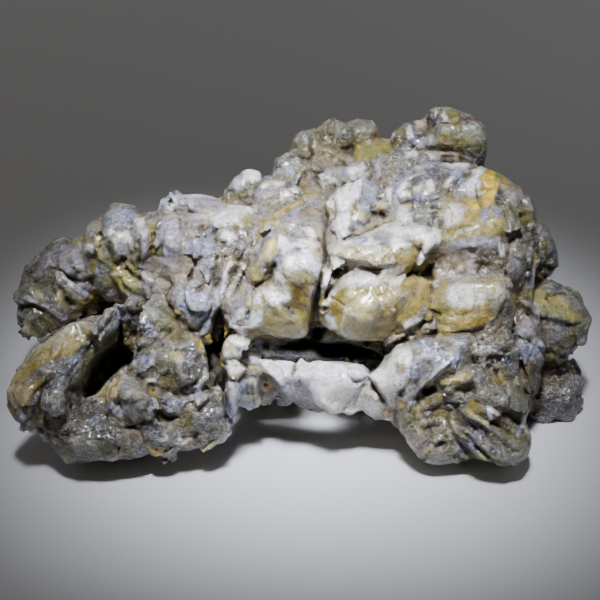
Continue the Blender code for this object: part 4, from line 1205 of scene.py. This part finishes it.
def rough_share(rough, waxy=WAXY_SHARE):
    """How much of broken rock's detail a rock this rough takes."""
    return waxy + (1.0 - waxy) * rough


def turn_matrix(lump):
    return np.array(Euler([radians(angle) for angle in lump.turn]).to_matrix(), np.float32)


def lump_distance(points, lump):
    """Distance to a lump's skin in mm, negative inside: true near the skin, and rougher further off."""
    local = (points - np.array(lump.centre, np.float32)) @ turn_matrix(lump)
    half = np.array(lump.half, np.float32)
    share = np.abs(local) / half + LEAST_SHARE
    less = share ** np.float32(lump.power - 1.0)
    reach = (less * share).sum(axis=-1) ** np.float32(1.0 / lump.power)
    slope = np.sqrt(((less / half) ** 2).sum(axis=-1)) / (reach ** np.float32(lump.power - 1.0))
    return np.maximum((reach - 1.0) / slope, -half.min())


def chisel(points, lump, distance, seed):
    """Chips a lump with random flat faces, deeper and sharper the rougher its rock is."""
    rng = np.random.default_rng(seed)
    normals = rng.normal(size=(CHISEL_FACES, 3))
    normals = (normals / np.linalg.norm(normals, axis=1, keepdims=True)).astype(np.float32)
    turn = turn_matrix(lump)
    half = np.array(lump.half, np.float32)
    dual = lump.power / (lump.power - 1.0)
    support = ((np.abs(normals @ turn) * half) ** dual).sum(axis=1) ** (1.0 / dual)
    depth = rng.uniform(0.0, CHISEL_DEPTH, CHISEL_FACES) * rough_share(lump.rough)
    offsets = (support * (1.0 - depth)).astype(np.float32)
    away = points - np.array(lump.centre, np.float32)
    planes = (away @ normals.T - offsets).max(axis=-1)
    return -smooth_union(-distance, -planes, CHISEL_EDGE + CHISEL_SOFTNESS * (1.0 - lump.rough))


def lump_box(lump, margin):
    reach = np.abs(turn_matrix(lump)) @ np.array(lump.half, np.float32) + margin
    centre = np.array(lump.centre, np.float32)
    return centre - reach, centre + reach


def join_lumps(grid, warp, lumps):
    """The lumps' union as a field, the gap between the two nearest lumps, and how rough the rock is."""
    field = np.full(grid.shape, FAR, np.float32)
    nearest = field.copy()
    second = field.copy()
    rough = np.zeros(grid.shape, np.float32)
    weights = np.full(grid.shape, LEAST_WEIGHT, np.float32)
    for seed, lump in enumerate(lumps):
        block = grid.block(*lump_box(lump, LUMP_REACH))
        if block is None:
            continue
        points = grid.points(block) + warp[block]
        distance = chisel(points, lump, lump_distance(points, lump), seed)
        field[block] = smooth_union(field[block], distance, lump.blend * LUMP_MELT)
        second[block] = np.minimum(second[block], np.maximum(nearest[block], distance))
        nearest[block] = np.minimum(nearest[block], distance)
        share = np.exp(-np.clip(distance, -ROUGH_LIMIT, ROUGH_LIMIT) / MINERAL_BLEND)
        rough[block] += share * lump.rough
        weights[block] += share
    return field, second - nearest, rough / weights


class FrontView:
    """The stone as the camera sees it: places in mm turned into pixels of the picture."""

    def __init__(self):
        angle = radians(CAMERA_ELEVATION)
        back = np.array((0, -cos(angle), sin(angle)), np.float32)
        self.eye = np.array(FOCUS, np.float32) + back * CAMERA_DISTANCE
        self.ahead = np.array((0, cos(angle), -sin(angle)), np.float32)
        self.up = np.array((0, sin(angle), cos(angle)), np.float32)
        self.scale = PICTURE * CAMERA_LENS / SENSOR_WIDTH
        self.cells_across = PICTURE // DEPTH_CELL + 1

    def see(self, points):
        """Where points show, in pixels across and down, and how far ahead of the camera they are."""
        away = points - self.eye
        depth = away @ self.ahead
        across = PICTURE / 2 + self.scale * away[:, 0] / depth
        down = PICTURE / 2 - self.scale * (away @ self.up) / depth
        return across, down, depth

    def cell(self, across, down):
        return (down / DEPTH_CELL).astype(int) * self.cells_across + (across / DEPTH_CELL).astype(int)

    def hidden_by(self, skin_points, points):
        """How far points lie behind the nearest part of the skin in front of them."""
        nearest = np.full(self.cells_across**2, UNSEEN, np.float32)
        across, down, depth = self.see(skin_points)
        np.minimum.at(nearest, self.cell(across, down), depth)
        across, down, depth = self.see(points)
        return depth - nearest[self.cell(across, down)]


def beside(pixels, start, end):
    """A line, and how pixels lie to it: their offset from its start, the place along it and the distance."""
    along = end - start
    away = pixels - start
    share = np.clip(away @ along / (along @ along), 0.0, 1.0)
    return along, away, share, np.linalg.norm(away - share[..., None] * along, axis=-1)


class Drawing:
    """Maps of the picture's size, drawn with outlines and lines."""

    def __init__(self):
        shape = (PICTURE, PICTURE)
        self.relief = np.zeros(shape, np.float32)
        self.pit = np.zeros(shape, np.float32)
        self.crack = np.zeros(shape, np.float32)
        self.drawn = np.zeros(shape, np.float32)
        self.minerals = np.zeros((len(MINERALS), *shape), np.float32)

    def window(self, points, margin):
        """The part of the picture around some points, and the pixels' places in it."""
        low = np.maximum(points.min(axis=0) - margin, 0).astype(int)
        high = np.minimum(points.max(axis=0) + margin, PICTURE).astype(int) + 1
        across, down = np.meshgrid(np.arange(low[0], high[0]), np.arange(low[1], high[1]))
        part = (slice(low[1], high[1]), slice(low[0], high[0]))
        pixels = np.stack([across, down], axis=-1)[: PICTURE - low[1], : PICTURE - low[0]]
        return part, pixels.astype(np.float32)

    def outline(self, points):
        """An outline's window and how far inside it each pixel is."""
        points = np.array(points, np.float32)
        part, pixels = self.window(points, OUTLINE_MARGIN)
        distance = np.full(pixels.shape[:2], UNSEEN, np.float32)
        inside = np.zeros(pixels.shape[:2], bool)
        for start, end in zip(points, np.roll(points, -1, axis=0)):
            along, away, _, edge_distance = beside(pixels, start, end)
            distance = np.minimum(distance, edge_distance)
            crosses = (start[1] > pixels[..., 1]) != (end[1] > pixels[..., 1])
            rise = end[1] - start[1] if end[1] != start[1] else 1.0
            inside ^= crosses & (away[..., 0] < along[0] * (pixels[..., 1] - start[1]) / rise)
        return part, pixels, np.where(inside, distance, -distance)

    def patch(self, row):
        part, pixels, depth = self.outline(row.outline)
        cover = smooth_step(depth, -PATCH_EDGE, PATCH_EDGE)
        centre = np.array(row.outline, np.float32).mean(axis=0)
        angle = radians(row.toward)
        along = (pixels - centre) @ np.array((sin(angle), -cos(angle)), np.float32)
        size = np.abs(along[depth > 0]).max() if (depth > 0).any() else 1.0
        leaning = row.lean * np.clip(along / size, -LEAN_LIMIT, LEAN_LIMIT)
        self.relief[part] += PATCH_DEPTH * cover * (row.lift + leaning)
        soft = min(PATCH_FADE, PATCH_CORE * depth.max())
        stain = smooth_step(depth, -soft, soft)
        self.minerals[(slice(None), *part)] *= 1.0 - stain
        self.minerals[(NAMES.index(row.mineral), *part)] += stain
        self.drawn[part] = 1.0 - (1.0 - self.drawn[part]) * (1.0 - stain)

    def line(self, row):
        points = np.array(row.points, np.float32)
        reach = STEP_REACH * row.width if row.kind == "step" else row.width
        part, pixels = self.window(points, max(reach, CRACK_REACH) + LINE_MARGIN)
        best = np.full(pixels.shape[:2], UNSEEN, np.float32)
        side = np.zeros(pixels.shape[:2], np.float32)
        place = np.zeros(pixels.shape[:2], np.float32)
        for number, (start, end) in enumerate(zip(points[:-1], points[1:])):
            along, away, share, distance = beside(pixels, start, end)
            closer = distance < best
            best = np.where(closer, distance, best)
            side = np.where(closer, along[0] * away[..., 1] - along[1] * away[..., 0], side)
            place = np.where(closer, (number + share) / (len(points) - 1), place)
        taper = smooth_step(np.minimum(place, 1.0 - place), *LINE_ENDS)
        if row.kind == "step":
            shape = np.exp(-best / row.width) * smooth_step(np.sign(side) * best, -PATCH_EDGE, PATCH_EDGE)
            self.relief[part] += row.height * shape * taper
        elif row.kind == "ridge":
            shape = np.clip(1.0 - best / row.width, 0.0, 1.0)
            self.relief[part] += row.height * shape * taper
        else:
            half_width = GROOVE_HALF * row.width * taper
            shape = 1.0 - smooth_step(best, 0.0, half_width + GROOVE_EDGE)
            self.relief[part] -= GROOVE_DEPTH * row.height * shape * taper
            near = np.clip(1.0 - (best - half_width) / CRACK_REACH, 0.0, 1.0)
            self.crack[part] = np.maximum(self.crack[part], near * smooth_step(taper, 0.0, 0.5))

    def cut(self, row):
        part, _, depth = self.outline(row.outline)
        wall = np.clip((depth + 1.0) / PIT_WALL, 0.0, 1.0)
        self.pit[part] = np.maximum(self.pit[part], row.depth * wall)

    def read(self, field, across, down):
        """A map's values between its pixels."""
        across = np.clip(across, 0, PICTURE - LAST_PIXEL)
        down = np.clip(down, 0, PICTURE - LAST_PIXEL)
        column = across.astype(int)
        line = down.astype(int)
        right = across - column
        below = down - line
        upper = field[line, column] * (1 - right) + field[line, column + 1] * right
        lower = field[line + 1, column] * (1 - right) + field[line + 1, column + 1] * right
        return upper * (1 - below) + lower * below


def draw_front(rows):
    drawing = Drawing()
    makers = {Patch: drawing.patch, Line: drawing.line, Pit: drawing.cut}
    for row in rows:
        makers[type(row)](row)
    return drawing


def carve_front(grid, field, rough, warp, drawing, view):
    """Lifts, tilts and cuts the skin that shows from the front, as it is drawn."""
    index = np.nonzero(np.abs(field) < FRONT_BAND)
    points = grid.points_at(index)
    on_skin = np.abs(field[index]) < SKIN_STEPS * grid.step
    ragged = points + warp[index] * FRONT_WARP
    behind = view.hidden_by(points[on_skin], points)
    across, down, _ = view.see(ragged)
    shows = 1.0 - smooth_step(behind, FRONT_REACH, FRONT_FADE)
    value = field[index] - drawing.read(drawing.relief, across, down) * shows
    pit = drawing.read(drawing.pit, across, down)
    cut = np.maximum(value, np.clip(pit - behind, -BAND, FIELD_LIMIT))
    field[index] = np.where(pit > PIT_LEAST, cut, value)
    drawn = drawing.read(drawing.drawn, across, down) * shows
    roughness = np.zeros(len(points), np.float32)
    for layer, look in zip(drawing.minerals, MINERALS.values()):
        roughness += drawing.read(layer, across, down) * look.breaks
    rough[index] = rough[index] * (1.0 - drawn) + roughness * shows


def bedding_height(points, beds, wander):
    """Ledges and grooves of the bedded parts: each bed has its own hardness, and so its own height."""
    total = np.zeros(len(points), np.float32)
    for bed in beds:
        away = points - np.array(bed.centre, np.float32)
        inside = 1.0 - smooth_step(np.sqrt((away**2).sum(axis=1)) / bed.radius, *BED_FADE)
        normal = np.array(Vector(bed.normal).normalized(), np.float32)
        level = (points @ normal + wander * bed.wander) / bed.spacing
        hardness = np.random.default_rng(bed.seed).uniform(-1.0, 1.0, BED_COUNT).astype(np.float32)
        whole = np.floor(level)
        here = hardness[whole.astype(int) % BED_COUNT]
        after = hardness[(whole.astype(int) + 1) % BED_COUNT]
        part = smooth_step(level - whole, *LEDGE)
        seam = np.exp(-(((level - whole - SEAM_PLACE) / SEAM_WIDTH) ** 2))
        total += inside * bed.depth * (here + (after - here) * part - SEAM_DEPTH * seam)
    return total


def break_up(grid, field, gap, rough):
    """Adds the creases, facets, bedding, cracks and grain, all within reach of the skin."""
    index = np.nonzero(np.abs(field) < BAND)
    points = grid.points_at(index)
    wander = grid.noise(BED_SIZE, BED_SEED)[index]
    ragged = points + grid.warp(FACET_WARP)[index]
    near_rough = rough[index]
    change = CREASE_DEPTH * rough_share(near_rough) * np.exp(-((gap[index] / CREASE_WIDTH) ** 2))
    change -= bedding_height(points, BEDDING, wander)
    for facet in FACETS:
        cells = Cells(grid, facet.size, facet.seed)
        height, border, luck = cells.facets(ragged, facet.slope, facet.step, facet.seam)
        strength = rough_share(near_rough, facet.smooth)
        change -= height * strength
        crack = np.exp(-((border / facet.crack_width) ** 2)) * (luck < facet.crack_share)
        change += crack * facet.crack_depth * strength
    for size, depth, smooth, seed in GRAIN:
        change -= grid.noise(size, seed)[index] * depth * rough_share(near_rough, smooth)
    field[index] += change


def add_crumbs(grid, field, rough):
    """Grows rounded grains on the broken rock: balls whose centres lie on the skin."""
    smallest, largest = CRUMB_SIZES
    for kind in CRUMBS:
        grains = Cells(grid, kind.spacing, kind.seed)
        centres = grains.centres_in_mm()
        depth = grid.sample(field, centres)
        roughness = grid.sample(rough, centres)
        lucky = grains.luck < kind.share * smooth_step(roughness, *CRUMB_ROUGH)
        on_skin = lucky & (np.abs(depth) < 0.5 * kind.radius)
        for centre, height in zip(centres[on_skin], grains.heights[on_skin]):
            radius = kind.radius * (smallest + (largest - smallest) * (height + 0.5))
            half = [radius * share for share in CRUMB_HALF]
            ball = Lump("crumb", centre, half, (0, 0, CRUMB_TURN * height), CRUMB_POWER, "", 0, 0)
            block = grid.block(*lump_box(ball, CRUMB_REACH))
            if block is not None:
                distance = lump_distance(grid.points(block), ball)
                field[block] = smooth_union(field[block], distance, CRUMB_BLEND)


def cut_hollows(grid, field, warp, hollows):
    for hollow in hollows:
        block = grid.block(*lump_box(hollow, LUMP_REACH))
        distance = lump_distance(grid.points(block) + warp[block], hollow)
        field[block] = -smooth_union(-field[block], distance, hollow.blend)


def take_off_fins(field, steps):
    """Takes off what is thinner than twice this many grid steps: shrinks the solid, then grows it again."""
    for pick in (np.maximum, np.minimum):
        for _ in range(steps):
            source = field.copy()
            for axis in range(3):
                here = np.moveaxis(field, axis, 0)
                there = np.moveaxis(source, axis, 0)
                pick(here[:-1], there[1:], out=here[:-1])
                pick(here[1:], there[:-1], out=here[1:])


def trim_ground(grid, field):
    """Cuts the feet off flat at the height where the stone rests."""
    np.maximum(field, -grid.axes[2][None, None, :], out=field)


def box_blur(values, reach):
    """Averages over a cube that reaches this many grid steps each way, twice over."""
    for _ in range(2):
        for axis in range(3):
            width = [(0, 0)] * 3
            width[axis] = (reach + 1, reach)
            sums = np.cumsum(np.pad(values, width, mode="edge"), axis=axis, dtype=np.float32)
            count = values.shape[axis]
            upper = np.take(sums, np.arange(count) + 2 * reach + 1, axis=axis)
            lower = np.take(sums, np.arange(count), axis=axis)
            values = (upper - lower) / (2 * reach + 1)
    return values


def largest_part(points, quads):
    """The skin's largest connected part, without specks that float free and bubbles inside the stone."""
    part = np.arange(len(points))
    while True:
        corners = part[quads]
        least = corners.min(axis=1, keepdims=True)
        if (corners == least).all():
            break
        np.minimum.at(part, corners, least)
        part = part[part]
    kept = part == np.bincount(part).argmax()
    number = np.cumsum(kept) - 1
    return points[kept], number[quads[kept[quads[:, 0]]]]


def mesh_from_field(name, grid, field):
    """The field's zero level as a mesh of quads, thinned to fewer triangles than the most allowed."""
    volume = openvdb.FloatGrid()
    volume.background = FAR
    volume.copyFromArray(np.clip(field, -FIELD_LIMIT, FIELD_LIMIT).astype(np.float32))
    points, _, quads = volume.convertToPolygons(isovalue=0.0, adaptivity=0.0)
    points, quads = largest_part(points, quads.astype(np.int64))
    points = points * grid.step + grid.low
    mesh = bpy.data.meshes.new(name)
    mesh.vertices.add(len(points))
    mesh.vertices.foreach_set("co", ((points + CENTRING) * MM).astype(np.float32).ravel())
    mesh.loops.add(len(quads) * 4)
    mesh.loops.foreach_set("vertex_index", quads.astype(np.int32).ravel())
    mesh.polygons.add(len(quads))
    mesh.polygons.foreach_set("loop_start", np.arange(0, len(quads) * 4, 4, dtype=np.int32))
    mesh.update(calc_edges=True)
    return mesh


def stone_field(grid, drawing, view):
    warp = grid.warp(LUMP_WARP)
    field, gap, rough = join_lumps(grid, warp, LUMPS)
    cut_hollows(grid, field, warp, HOLLOWS)
    carve_front(grid, field, rough, warp, drawing, view)
    take_off_fins(field, FIN_STEPS)
    break_up(grid, field, gap, rough)
    add_crumbs(grid, field, rough)
    trim_ground(grid, field)
    return field, warp


def lump_minerals(points, lumps):
    """How much of each mineral the lumps give to each point of the skin."""
    weights = np.full((len(NAMES), len(points)), LEAST_WEIGHT, np.float32)
    for lump in lumps:
        low, high = lump_box(lump, LUMP_REACH)
        near = np.nonzero(((points > low) & (points < high)).all(axis=1))[0]
        distance = np.clip(lump_distance(points[near], lump), -MINERAL_LIMIT, MINERAL_LIMIT)
        weights[NAMES.index(lump.mineral), near] += np.exp(-distance / MINERAL_BLEND)
    return weights / weights.sum(axis=0)


def set_mask(mesh, name, values):
    """Stores values from 0 to 1 on the vertices, three to a colour."""
    colours = np.ones((len(mesh.vertices), 4), np.float32)
    colours[:, :3] = np.clip(values, 0.0, 1.0).T
    mesh.attributes.new(name, "FLOAT_COLOR", "POINT").data.foreach_set("color", colours.ravel())


def paint(mesh, grid, field, warp, drawing, view):
    """Puts minerals, drawn cracks and hollows (for grime, painted shade and highlights) on the vertices."""
    points = skin_points(mesh)
    shift = np.stack([grid.sample(warp[..., axis], points) for axis in range(3)], axis=1)
    weights = lump_minerals(points + shift, LUMPS)
    behind = view.hidden_by(points, points)
    across, down, _ = view.see(points + shift * PAINT_WARP)
    shows = 1.0 - smooth_step(behind, *PAINT_FADE)
    drawn = drawing.read(drawing.drawn, across, down) * shows
    spots = Cells(grid, SPOT_SIZE, SPOT_SEED)
    inner, outer, number, _ = spots.nearest(points + shift)
    chosen = (spots.luck[number] * len(SPOTS) / SPOT_SHARE).astype(int)
    for choice, name in enumerate(SPOTS):
        share = (chosen == choice) * smooth_step(outer - inner, 0.0, SPOT_FADE)
        weights *= 1.0 - share
        weights[NAMES.index(name)] += share
    weights *= 1.0 - drawn
    for number, layer in enumerate(drawing.minerals):
        weights[number] += drawing.read(layer, across, down) * shows
    for number, trio in enumerate(MASKS):
        set_mask(mesh, f"minerals_{number + 1}", weights[[NAMES.index(name) for name in trio]])
    solid = (field < 0.0).astype(np.float32)
    near = grid.sample(box_blur(solid, round(NEAR_HOLLOW / grid.step)), points)
    far = grid.sample(box_blur(solid, round(FAR_HOLLOW / grid.step)), points)
    crack = drawing.read(drawing.crack, across, down) * shows
    set_mask(mesh, "relief", np.stack([near, far, crack]))


def skin_points(mesh):
    """The mesh's vertices in the tables' mm."""
    points = np.empty(len(mesh.vertices) * 3, np.float32)
    mesh.vertices.foreach_get("co", points)
    return points.reshape(-1, 3) / MM - CENTRING


def thin_out(piece, most, view):
    """Merges the skin's faces until few enough are left, first where the front doesn't show."""
    triangles = 2 * len(piece.data.polygons)
    if triangles <= most:
        return
    points = skin_points(piece.data)
    behind = view.hidden_by(points, points)
    shows = behind < FRONT_REACH
    front = piece.vertex_groups.new(name="front")
    front.add(np.nonzero(shows)[0].tolist(), 1.0, "REPLACE")
    first = piece.modifiers.new("thin_rear", "DECIMATE")
    first.ratio = shows.mean() + REAR_KEPT * (1.0 - shows.mean())
    first.vertex_group = front.name
    first.invert_vertex_group = True
    thin = piece.modifiers.new("thin", "DECIMATE")
    thin.ratio = min(1.0, most / (triangles * first.ratio))
    settled = bpy.data.meshes.new_from_object(piece.evaluated_get(bpy.context.evaluated_depsgraph_get()))
    piece.modifiers.clear()
    piece.vertex_groups.clear()
    piece.data = settled


def plain_material(name, colour, roughness):
    made = bpy.data.materials.new(name)
    made.use_nodes = True
    shader = made.node_tree.nodes["Principled BSDF"]
    shader.inputs["Base Color"].default_value = (*colour, 1.0)
    shader.inputs["Roughness"].default_value = roughness
    return made


class Nodes:
    """A short way to write a material's nodes: a call adds a node and returns the socket that it gives."""

    def __init__(self, name):
        self.material = bpy.data.materials.new(name)
        self.material.use_nodes = True
        self.tree = self.material.node_tree
        self.shader = self.tree.nodes["Principled BSDF"]

    def put(self, socket, value):
        if isinstance(value, bpy.types.NodeSocket):
            self.tree.links.new(value, socket)
        elif isinstance(value, tuple):
            socket.default_value = (*value, 1.0)
        else:
            socket.default_value = value

    def mask(self, name):
        node = self.tree.nodes.new("ShaderNodeAttribute")
        node.attribute_name = name
        parts = self.tree.nodes.new("ShaderNodeSeparateColor")
        self.tree.links.new(node.outputs["Color"], parts.inputs["Color"])
        return parts.outputs["Red"], parts.outputs["Green"], parts.outputs["Blue"]

    def place(self, stretch=(1.0, 1.0, 1.0)):
        node = self.tree.nodes.new("ShaderNodeTexCoord")
        mapping = self.tree.nodes.new("ShaderNodeMapping")
        self.tree.links.new(node.outputs["Object"], mapping.inputs["Vector"])
        mapping.inputs["Scale"].default_value = stretch
        return mapping.outputs["Vector"]

    def noise(self, place, size, detail, rough, twist=0.0):
        """Noise with blobs of this size in mm, from 0 to 1."""
        node = self.tree.nodes.new("ShaderNodeTexNoise")
        self.tree.links.new(place, node.inputs["Vector"])
        node.inputs["Scale"].default_value = 1.0 / (size * MM)
        node.inputs["Detail"].default_value = detail
        node.inputs["Roughness"].default_value = rough
        node.inputs["Distortion"].default_value = twist
        return node.outputs["Fac"]

    def cells(self, place, size):
        node = self.tree.nodes.new("ShaderNodeTexVoronoi")
        node.feature = "F1"
        self.tree.links.new(place, node.inputs["Vector"])
        node.inputs["Scale"].default_value = 1.0 / (size * MM)
        return node.outputs["Distance"]

    def math(self, operation, one, other=0.0):
        node = self.tree.nodes.new("ShaderNodeMath")
        node.operation = operation
        self.put(node.inputs[0], one)
        self.put(node.inputs[1], other)
        return node.outputs["Value"]

    def times(self, one, other):
        return self.math("MULTIPLY", one, other)

    def fray(self, value, ragged, share):
        """A value with ragged noise on it, so that what depends on it gets a ragged edge."""
        return self.math("ADD", value, self.times(ragged, share))

    def step(self, value, low, high, to_low=0.0, to_high=1.0):
        """A smooth step of a value between two places."""
        node = self.tree.nodes.new("ShaderNodeMapRange")
        node.interpolation_type = "SMOOTHSTEP"
        self.put(node.inputs["Value"], value)
        node.inputs["From Min"].default_value = low
        node.inputs["From Max"].default_value = high
        node.inputs["To Min"].default_value = to_low
        node.inputs["To Max"].default_value = to_high
        return node.outputs["Result"]

    def mix(self, share, one, other, how="MIX"):
        node = self.tree.nodes.new("ShaderNodeMix")
        node.data_type = "RGBA"
        node.blend_type = how
        # Blender's Mix node takes numbers at sockets 2 and 3, and colours at 6 and 7.
        self.put(node.inputs[0], share)
        self.put(node.inputs[6], one)
        self.put(node.inputs[7], other)
        return node.outputs[2]

    def blend(self, share, one, other):
        node = self.tree.nodes.new("ShaderNodeMix")
        node.data_type = "FLOAT"
        self.put(node.inputs[0], share)
        self.put(node.inputs[2], one)
        self.put(node.inputs[3], other)
        return node.outputs[0]

    def bump(self, height, depth, before=None):
        """Bump of this depth in mm."""
        node = self.tree.nodes.new("ShaderNodeBump")
        node.inputs["Distance"].default_value = depth * MM
        self.put(node.inputs["Height"], height)
        if before is not None:
            self.put(node.inputs["Normal"], before)
        return node.outputs["Normal"]


def mineral_colour(nodes, place, look):
    """Blotches of a mineral's three colours."""
    rough = BLOTCH_ROUGH + BLOTCH_ROUGHER * look.coarse
    blotch = nodes.noise(place, look.size, BLOTCH_DETAIL, rough, BLOTCH_TWIST)
    light = nodes.mix(nodes.step(blotch, *LIGHT_STEP), look.middle, look.light)
    return nodes.mix(nodes.step(blotch, *MIDDLE_STEP), look.dark, light)


def thread(nodes, noise, width):
    """Thin lines where noise crosses its middle."""
    away = nodes.math("ABSOLUTE", nodes.math("SUBTRACT", noise, 0.5))
    return nodes.step(away, width, VEIN_CORE * width)


def lay_minerals(nodes, place, ragged):
    """The minerals' colour, gloss and coarseness: each lies over the ones before it, by its mask."""
    masks = {}
    for number, trio in enumerate(MASKS):
        masks.update(zip(trio, nodes.mask(f"minerals_{number + 1}")))
    fray = nodes.times(ragged, MASK_FRAY)
    colour = mineral_colour(nodes, place, GROUND)
    gloss = GROUND.gloss
    coarse = GROUND.coarse
    for name, mask in masks.items():
        look = MINERALS[name]
        share = nodes.step(nodes.math("ADD", mask, fray), *MASK_STEP)
        colour = nodes.mix(share, colour, mineral_colour(nodes, place, look))
        gloss = nodes.blend(share, gloss, look.gloss)
        coarse = nodes.blend(share, coarse, look.coarse)
    return colour, gloss, coarse


def stone_material():
    """Chert's mineral blotches, veins, stained cracks and grit, with grime and painted shade in hollows."""
    nodes = Nodes("chert")
    place = nodes.place()
    near, far, crack = nodes.mask("relief")
    ragged = nodes.math("SUBTRACT", nodes.noise(place, *RAGGED_NOISE), 0.5)
    colour, gloss, coarse = lay_minerals(nodes, place, ragged)

    # Clear chert takes an amber painted shade where it is hollow, and a milk-white painted highlight where
    # it stands out.
    clear = nodes.math("SUBTRACT", 1.0, coarse)
    glow = nodes.fray(far, ragged, GLOW_FRAY)
    amber = nodes.times(nodes.step(glow, *AMBER_STEP), nodes.times(clear, AMBER_SHARE))
    colour = nodes.mix(amber, colour, AMBER)
    # A milk-white painted highlight where clear chert stands out.
    milky = nodes.times(nodes.step(glow, *MILK_STEP), nodes.times(clear, MILK_SHARE))
    colour = nodes.mix(milky, colour, MILK)

    # Yellow and lavender tints wander over all of it.
    tint = nodes.mix(nodes.step(nodes.noise(place, *TINT_NOISE), *TINT_STEP), LAVENDER, STRAW)
    colour = nodes.mix(nodes.blend(coarse, *TINT_SHARE), colour, tint, "MULTIPLY")

    dark_vein = thread(nodes, nodes.noise(place, *DARK_VEINS), DARK_VEIN_WIDTH)
    dark_vein = nodes.times(dark_vein, nodes.blend(coarse, *DARK_VEIN_SHARE))
    colour = nodes.mix(dark_vein, colour, VEIN_DARK)
    pale_vein = thread(nodes, nodes.noise(nodes.place(VEIN_SQUEEZE), *PALE_VEINS), PALE_VEIN_WIDTH)
    pale_vein = nodes.times(pale_vein, nodes.times(coarse, PALE_VEIN_SHARE))
    colour = nodes.mix(pale_vein, colour, VEIN_PALE)

    grit = nodes.noise(place, *GRIT_NOISE)
    dark_grit = nodes.times(nodes.step(grit, *DARK_GRIT_STEP), nodes.blend(coarse, *DARK_GRIT_SHARE))
    colour = nodes.mix(dark_grit, colour, VEIN_DARK)
    pale_grit = nodes.times(nodes.step(grit, *PALE_GRIT_STEP), nodes.blend(coarse, *PALE_GRIT_SHARE))
    colour = nodes.mix(pale_grit, colour, VEIN_PALE)

    # Narrow and wide hollows get grime and painted shade, edges that stand out are lightened as a painted
    # highlight, and drawn cracks are stained.
    dirt = nodes.step(nodes.fray(near, ragged, DIRT_FRAY), *DIRT_STEP)
    colour = nodes.mix(nodes.times(dirt, DIRT_SHARE), colour, DIRT)
    # Wide hollows darken as well: grime and painted shade.
    deep = nodes.step(nodes.fray(far, ragged, DEEP_FRAY), *DEEP_STEP)
    colour = nodes.mix(deep, colour, DIRT)
    # Standing edges are lightened with the pale vein colour: a painted highlight.
    colour = nodes.mix(nodes.step(near, *EDGE_STEP), colour, VEIN_PALE, "OVERLAY")
    stain = nodes.step(nodes.fray(crack, ragged, CRACK_FRAY), *CRACK_STEP)
    colour = nodes.mix(stain, colour, CRACK_STAIN)

    inputs = nodes.shader.inputs
    nodes.put(inputs["Base Color"], colour)
    nodes.put(inputs["Roughness"], nodes.blend(dirt, gloss, DIRT_GLOSS))
    inputs["Coat Weight"].default_value = COAT
    inputs["Coat Roughness"].default_value = COAT_ROUGHNESS

    soft = nodes.bump(nodes.noise(place, *WAVE_NOISE), WAVE_BUMP)
    crystals = nodes.times(nodes.cells(place, CRYSTAL_SIZE), coarse)
    faceted = nodes.bump(crystals, CRYSTAL_BUMP, soft)
    furrows = nodes.math("SUBTRACT", nodes.times(pale_grit, 0.5), dark_vein)
    furrowed = nodes.bump(furrows, VEIN_BUMP, faceted)
    gritty = nodes.bump(nodes.times(grit, nodes.blend(coarse, GRIT_ON_CHERT, 1.0)), GRIT_BUMP, furrowed)
    nodes.put(inputs["Normal"], gritty)
    return nodes.material


def make_floor():
    """A plain pale floor."""
    mesh = bpy.data.meshes.new("floor")
    corners = [(x * FLOOR_REACH, y * FLOOR_REACH, 0) for x, y in ((-1, -1), (1, -1), (1, 1), (-1, 1))]
    mesh.from_pydata(corners, [], [(0, 1, 2, 3)])
    floor = bpy.data.objects.new("floor", mesh)
    bpy.context.scene.collection.objects.link(floor)
    floor.data.materials.append(plain_material("pale_floor", FLOOR_COLOUR, FLOOR_ROUGHNESS))


def aim(thing, target):
    thing.rotation_euler = (Vector(target) - thing.location).to_track_quat("-Z", "Y").to_euler()


def make_light(row):
    data = bpy.data.lights.new(row.name, "AREA")
    data.spread = radians(row.spread)
    data.size = row.size
    data.energy = row.watts
    data.color = row.colour
    light = bpy.data.objects.new(row.name, data)
    light.location = row.place
    bpy.context.scene.collection.objects.link(light)
    aim(light, row.target)


def make_studio():
    world = bpy.data.worlds.new("studio")
    world.use_nodes = True
    background = world.node_tree.nodes["Background"]
    background.inputs["Color"].default_value = (*WORLD_COLOUR, 1.0)
    background.inputs["Strength"].default_value = WORLD_STRENGTH
    bpy.context.scene.world = world
    for row in LIGHTS:
        make_light(row)


def make_camera():
    data = bpy.data.cameras.new("camera")
    data.sensor_width = SENSOR_WIDTH
    data.lens = CAMERA_LENS
    data.clip_start = CLIP_START * MM
    camera = bpy.data.objects.new("camera", data)
    bpy.context.scene.collection.objects.link(camera)
    target = (Vector(FOCUS) + Vector(CENTRING)) * MM
    angle = radians(CAMERA_ELEVATION)
    camera.location = target + Vector((0.0, -cos(angle), sin(angle))) * CAMERA_DISTANCE * MM
    aim(camera, target)
    bpy.context.scene.camera = camera


make_camera()
grid = Grid(GRID_LOW, GRID_HIGH, GRID_STEP)
view = FrontView()
drawing = draw_front(read_drawing(FRONT_ROWS))
field, warp = stone_field(grid, drawing, view)
skin = bpy.data.objects.new("stone_skin", mesh_from_field("stone_skin", grid, field))
bpy.context.scene.collection.objects.link(skin)
thin_out(skin, MOST_TRIANGLES, view)
paint(skin.data, grid, field, warp, drawing, view)
skin.data.shade_smooth()
skin.data.set_sharp_from_angle(angle=radians(SHARP_ANGLE))
skin.data.materials.append(stone_material())
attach(skin, "root")
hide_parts("stone")
make_floor()
make_studio()
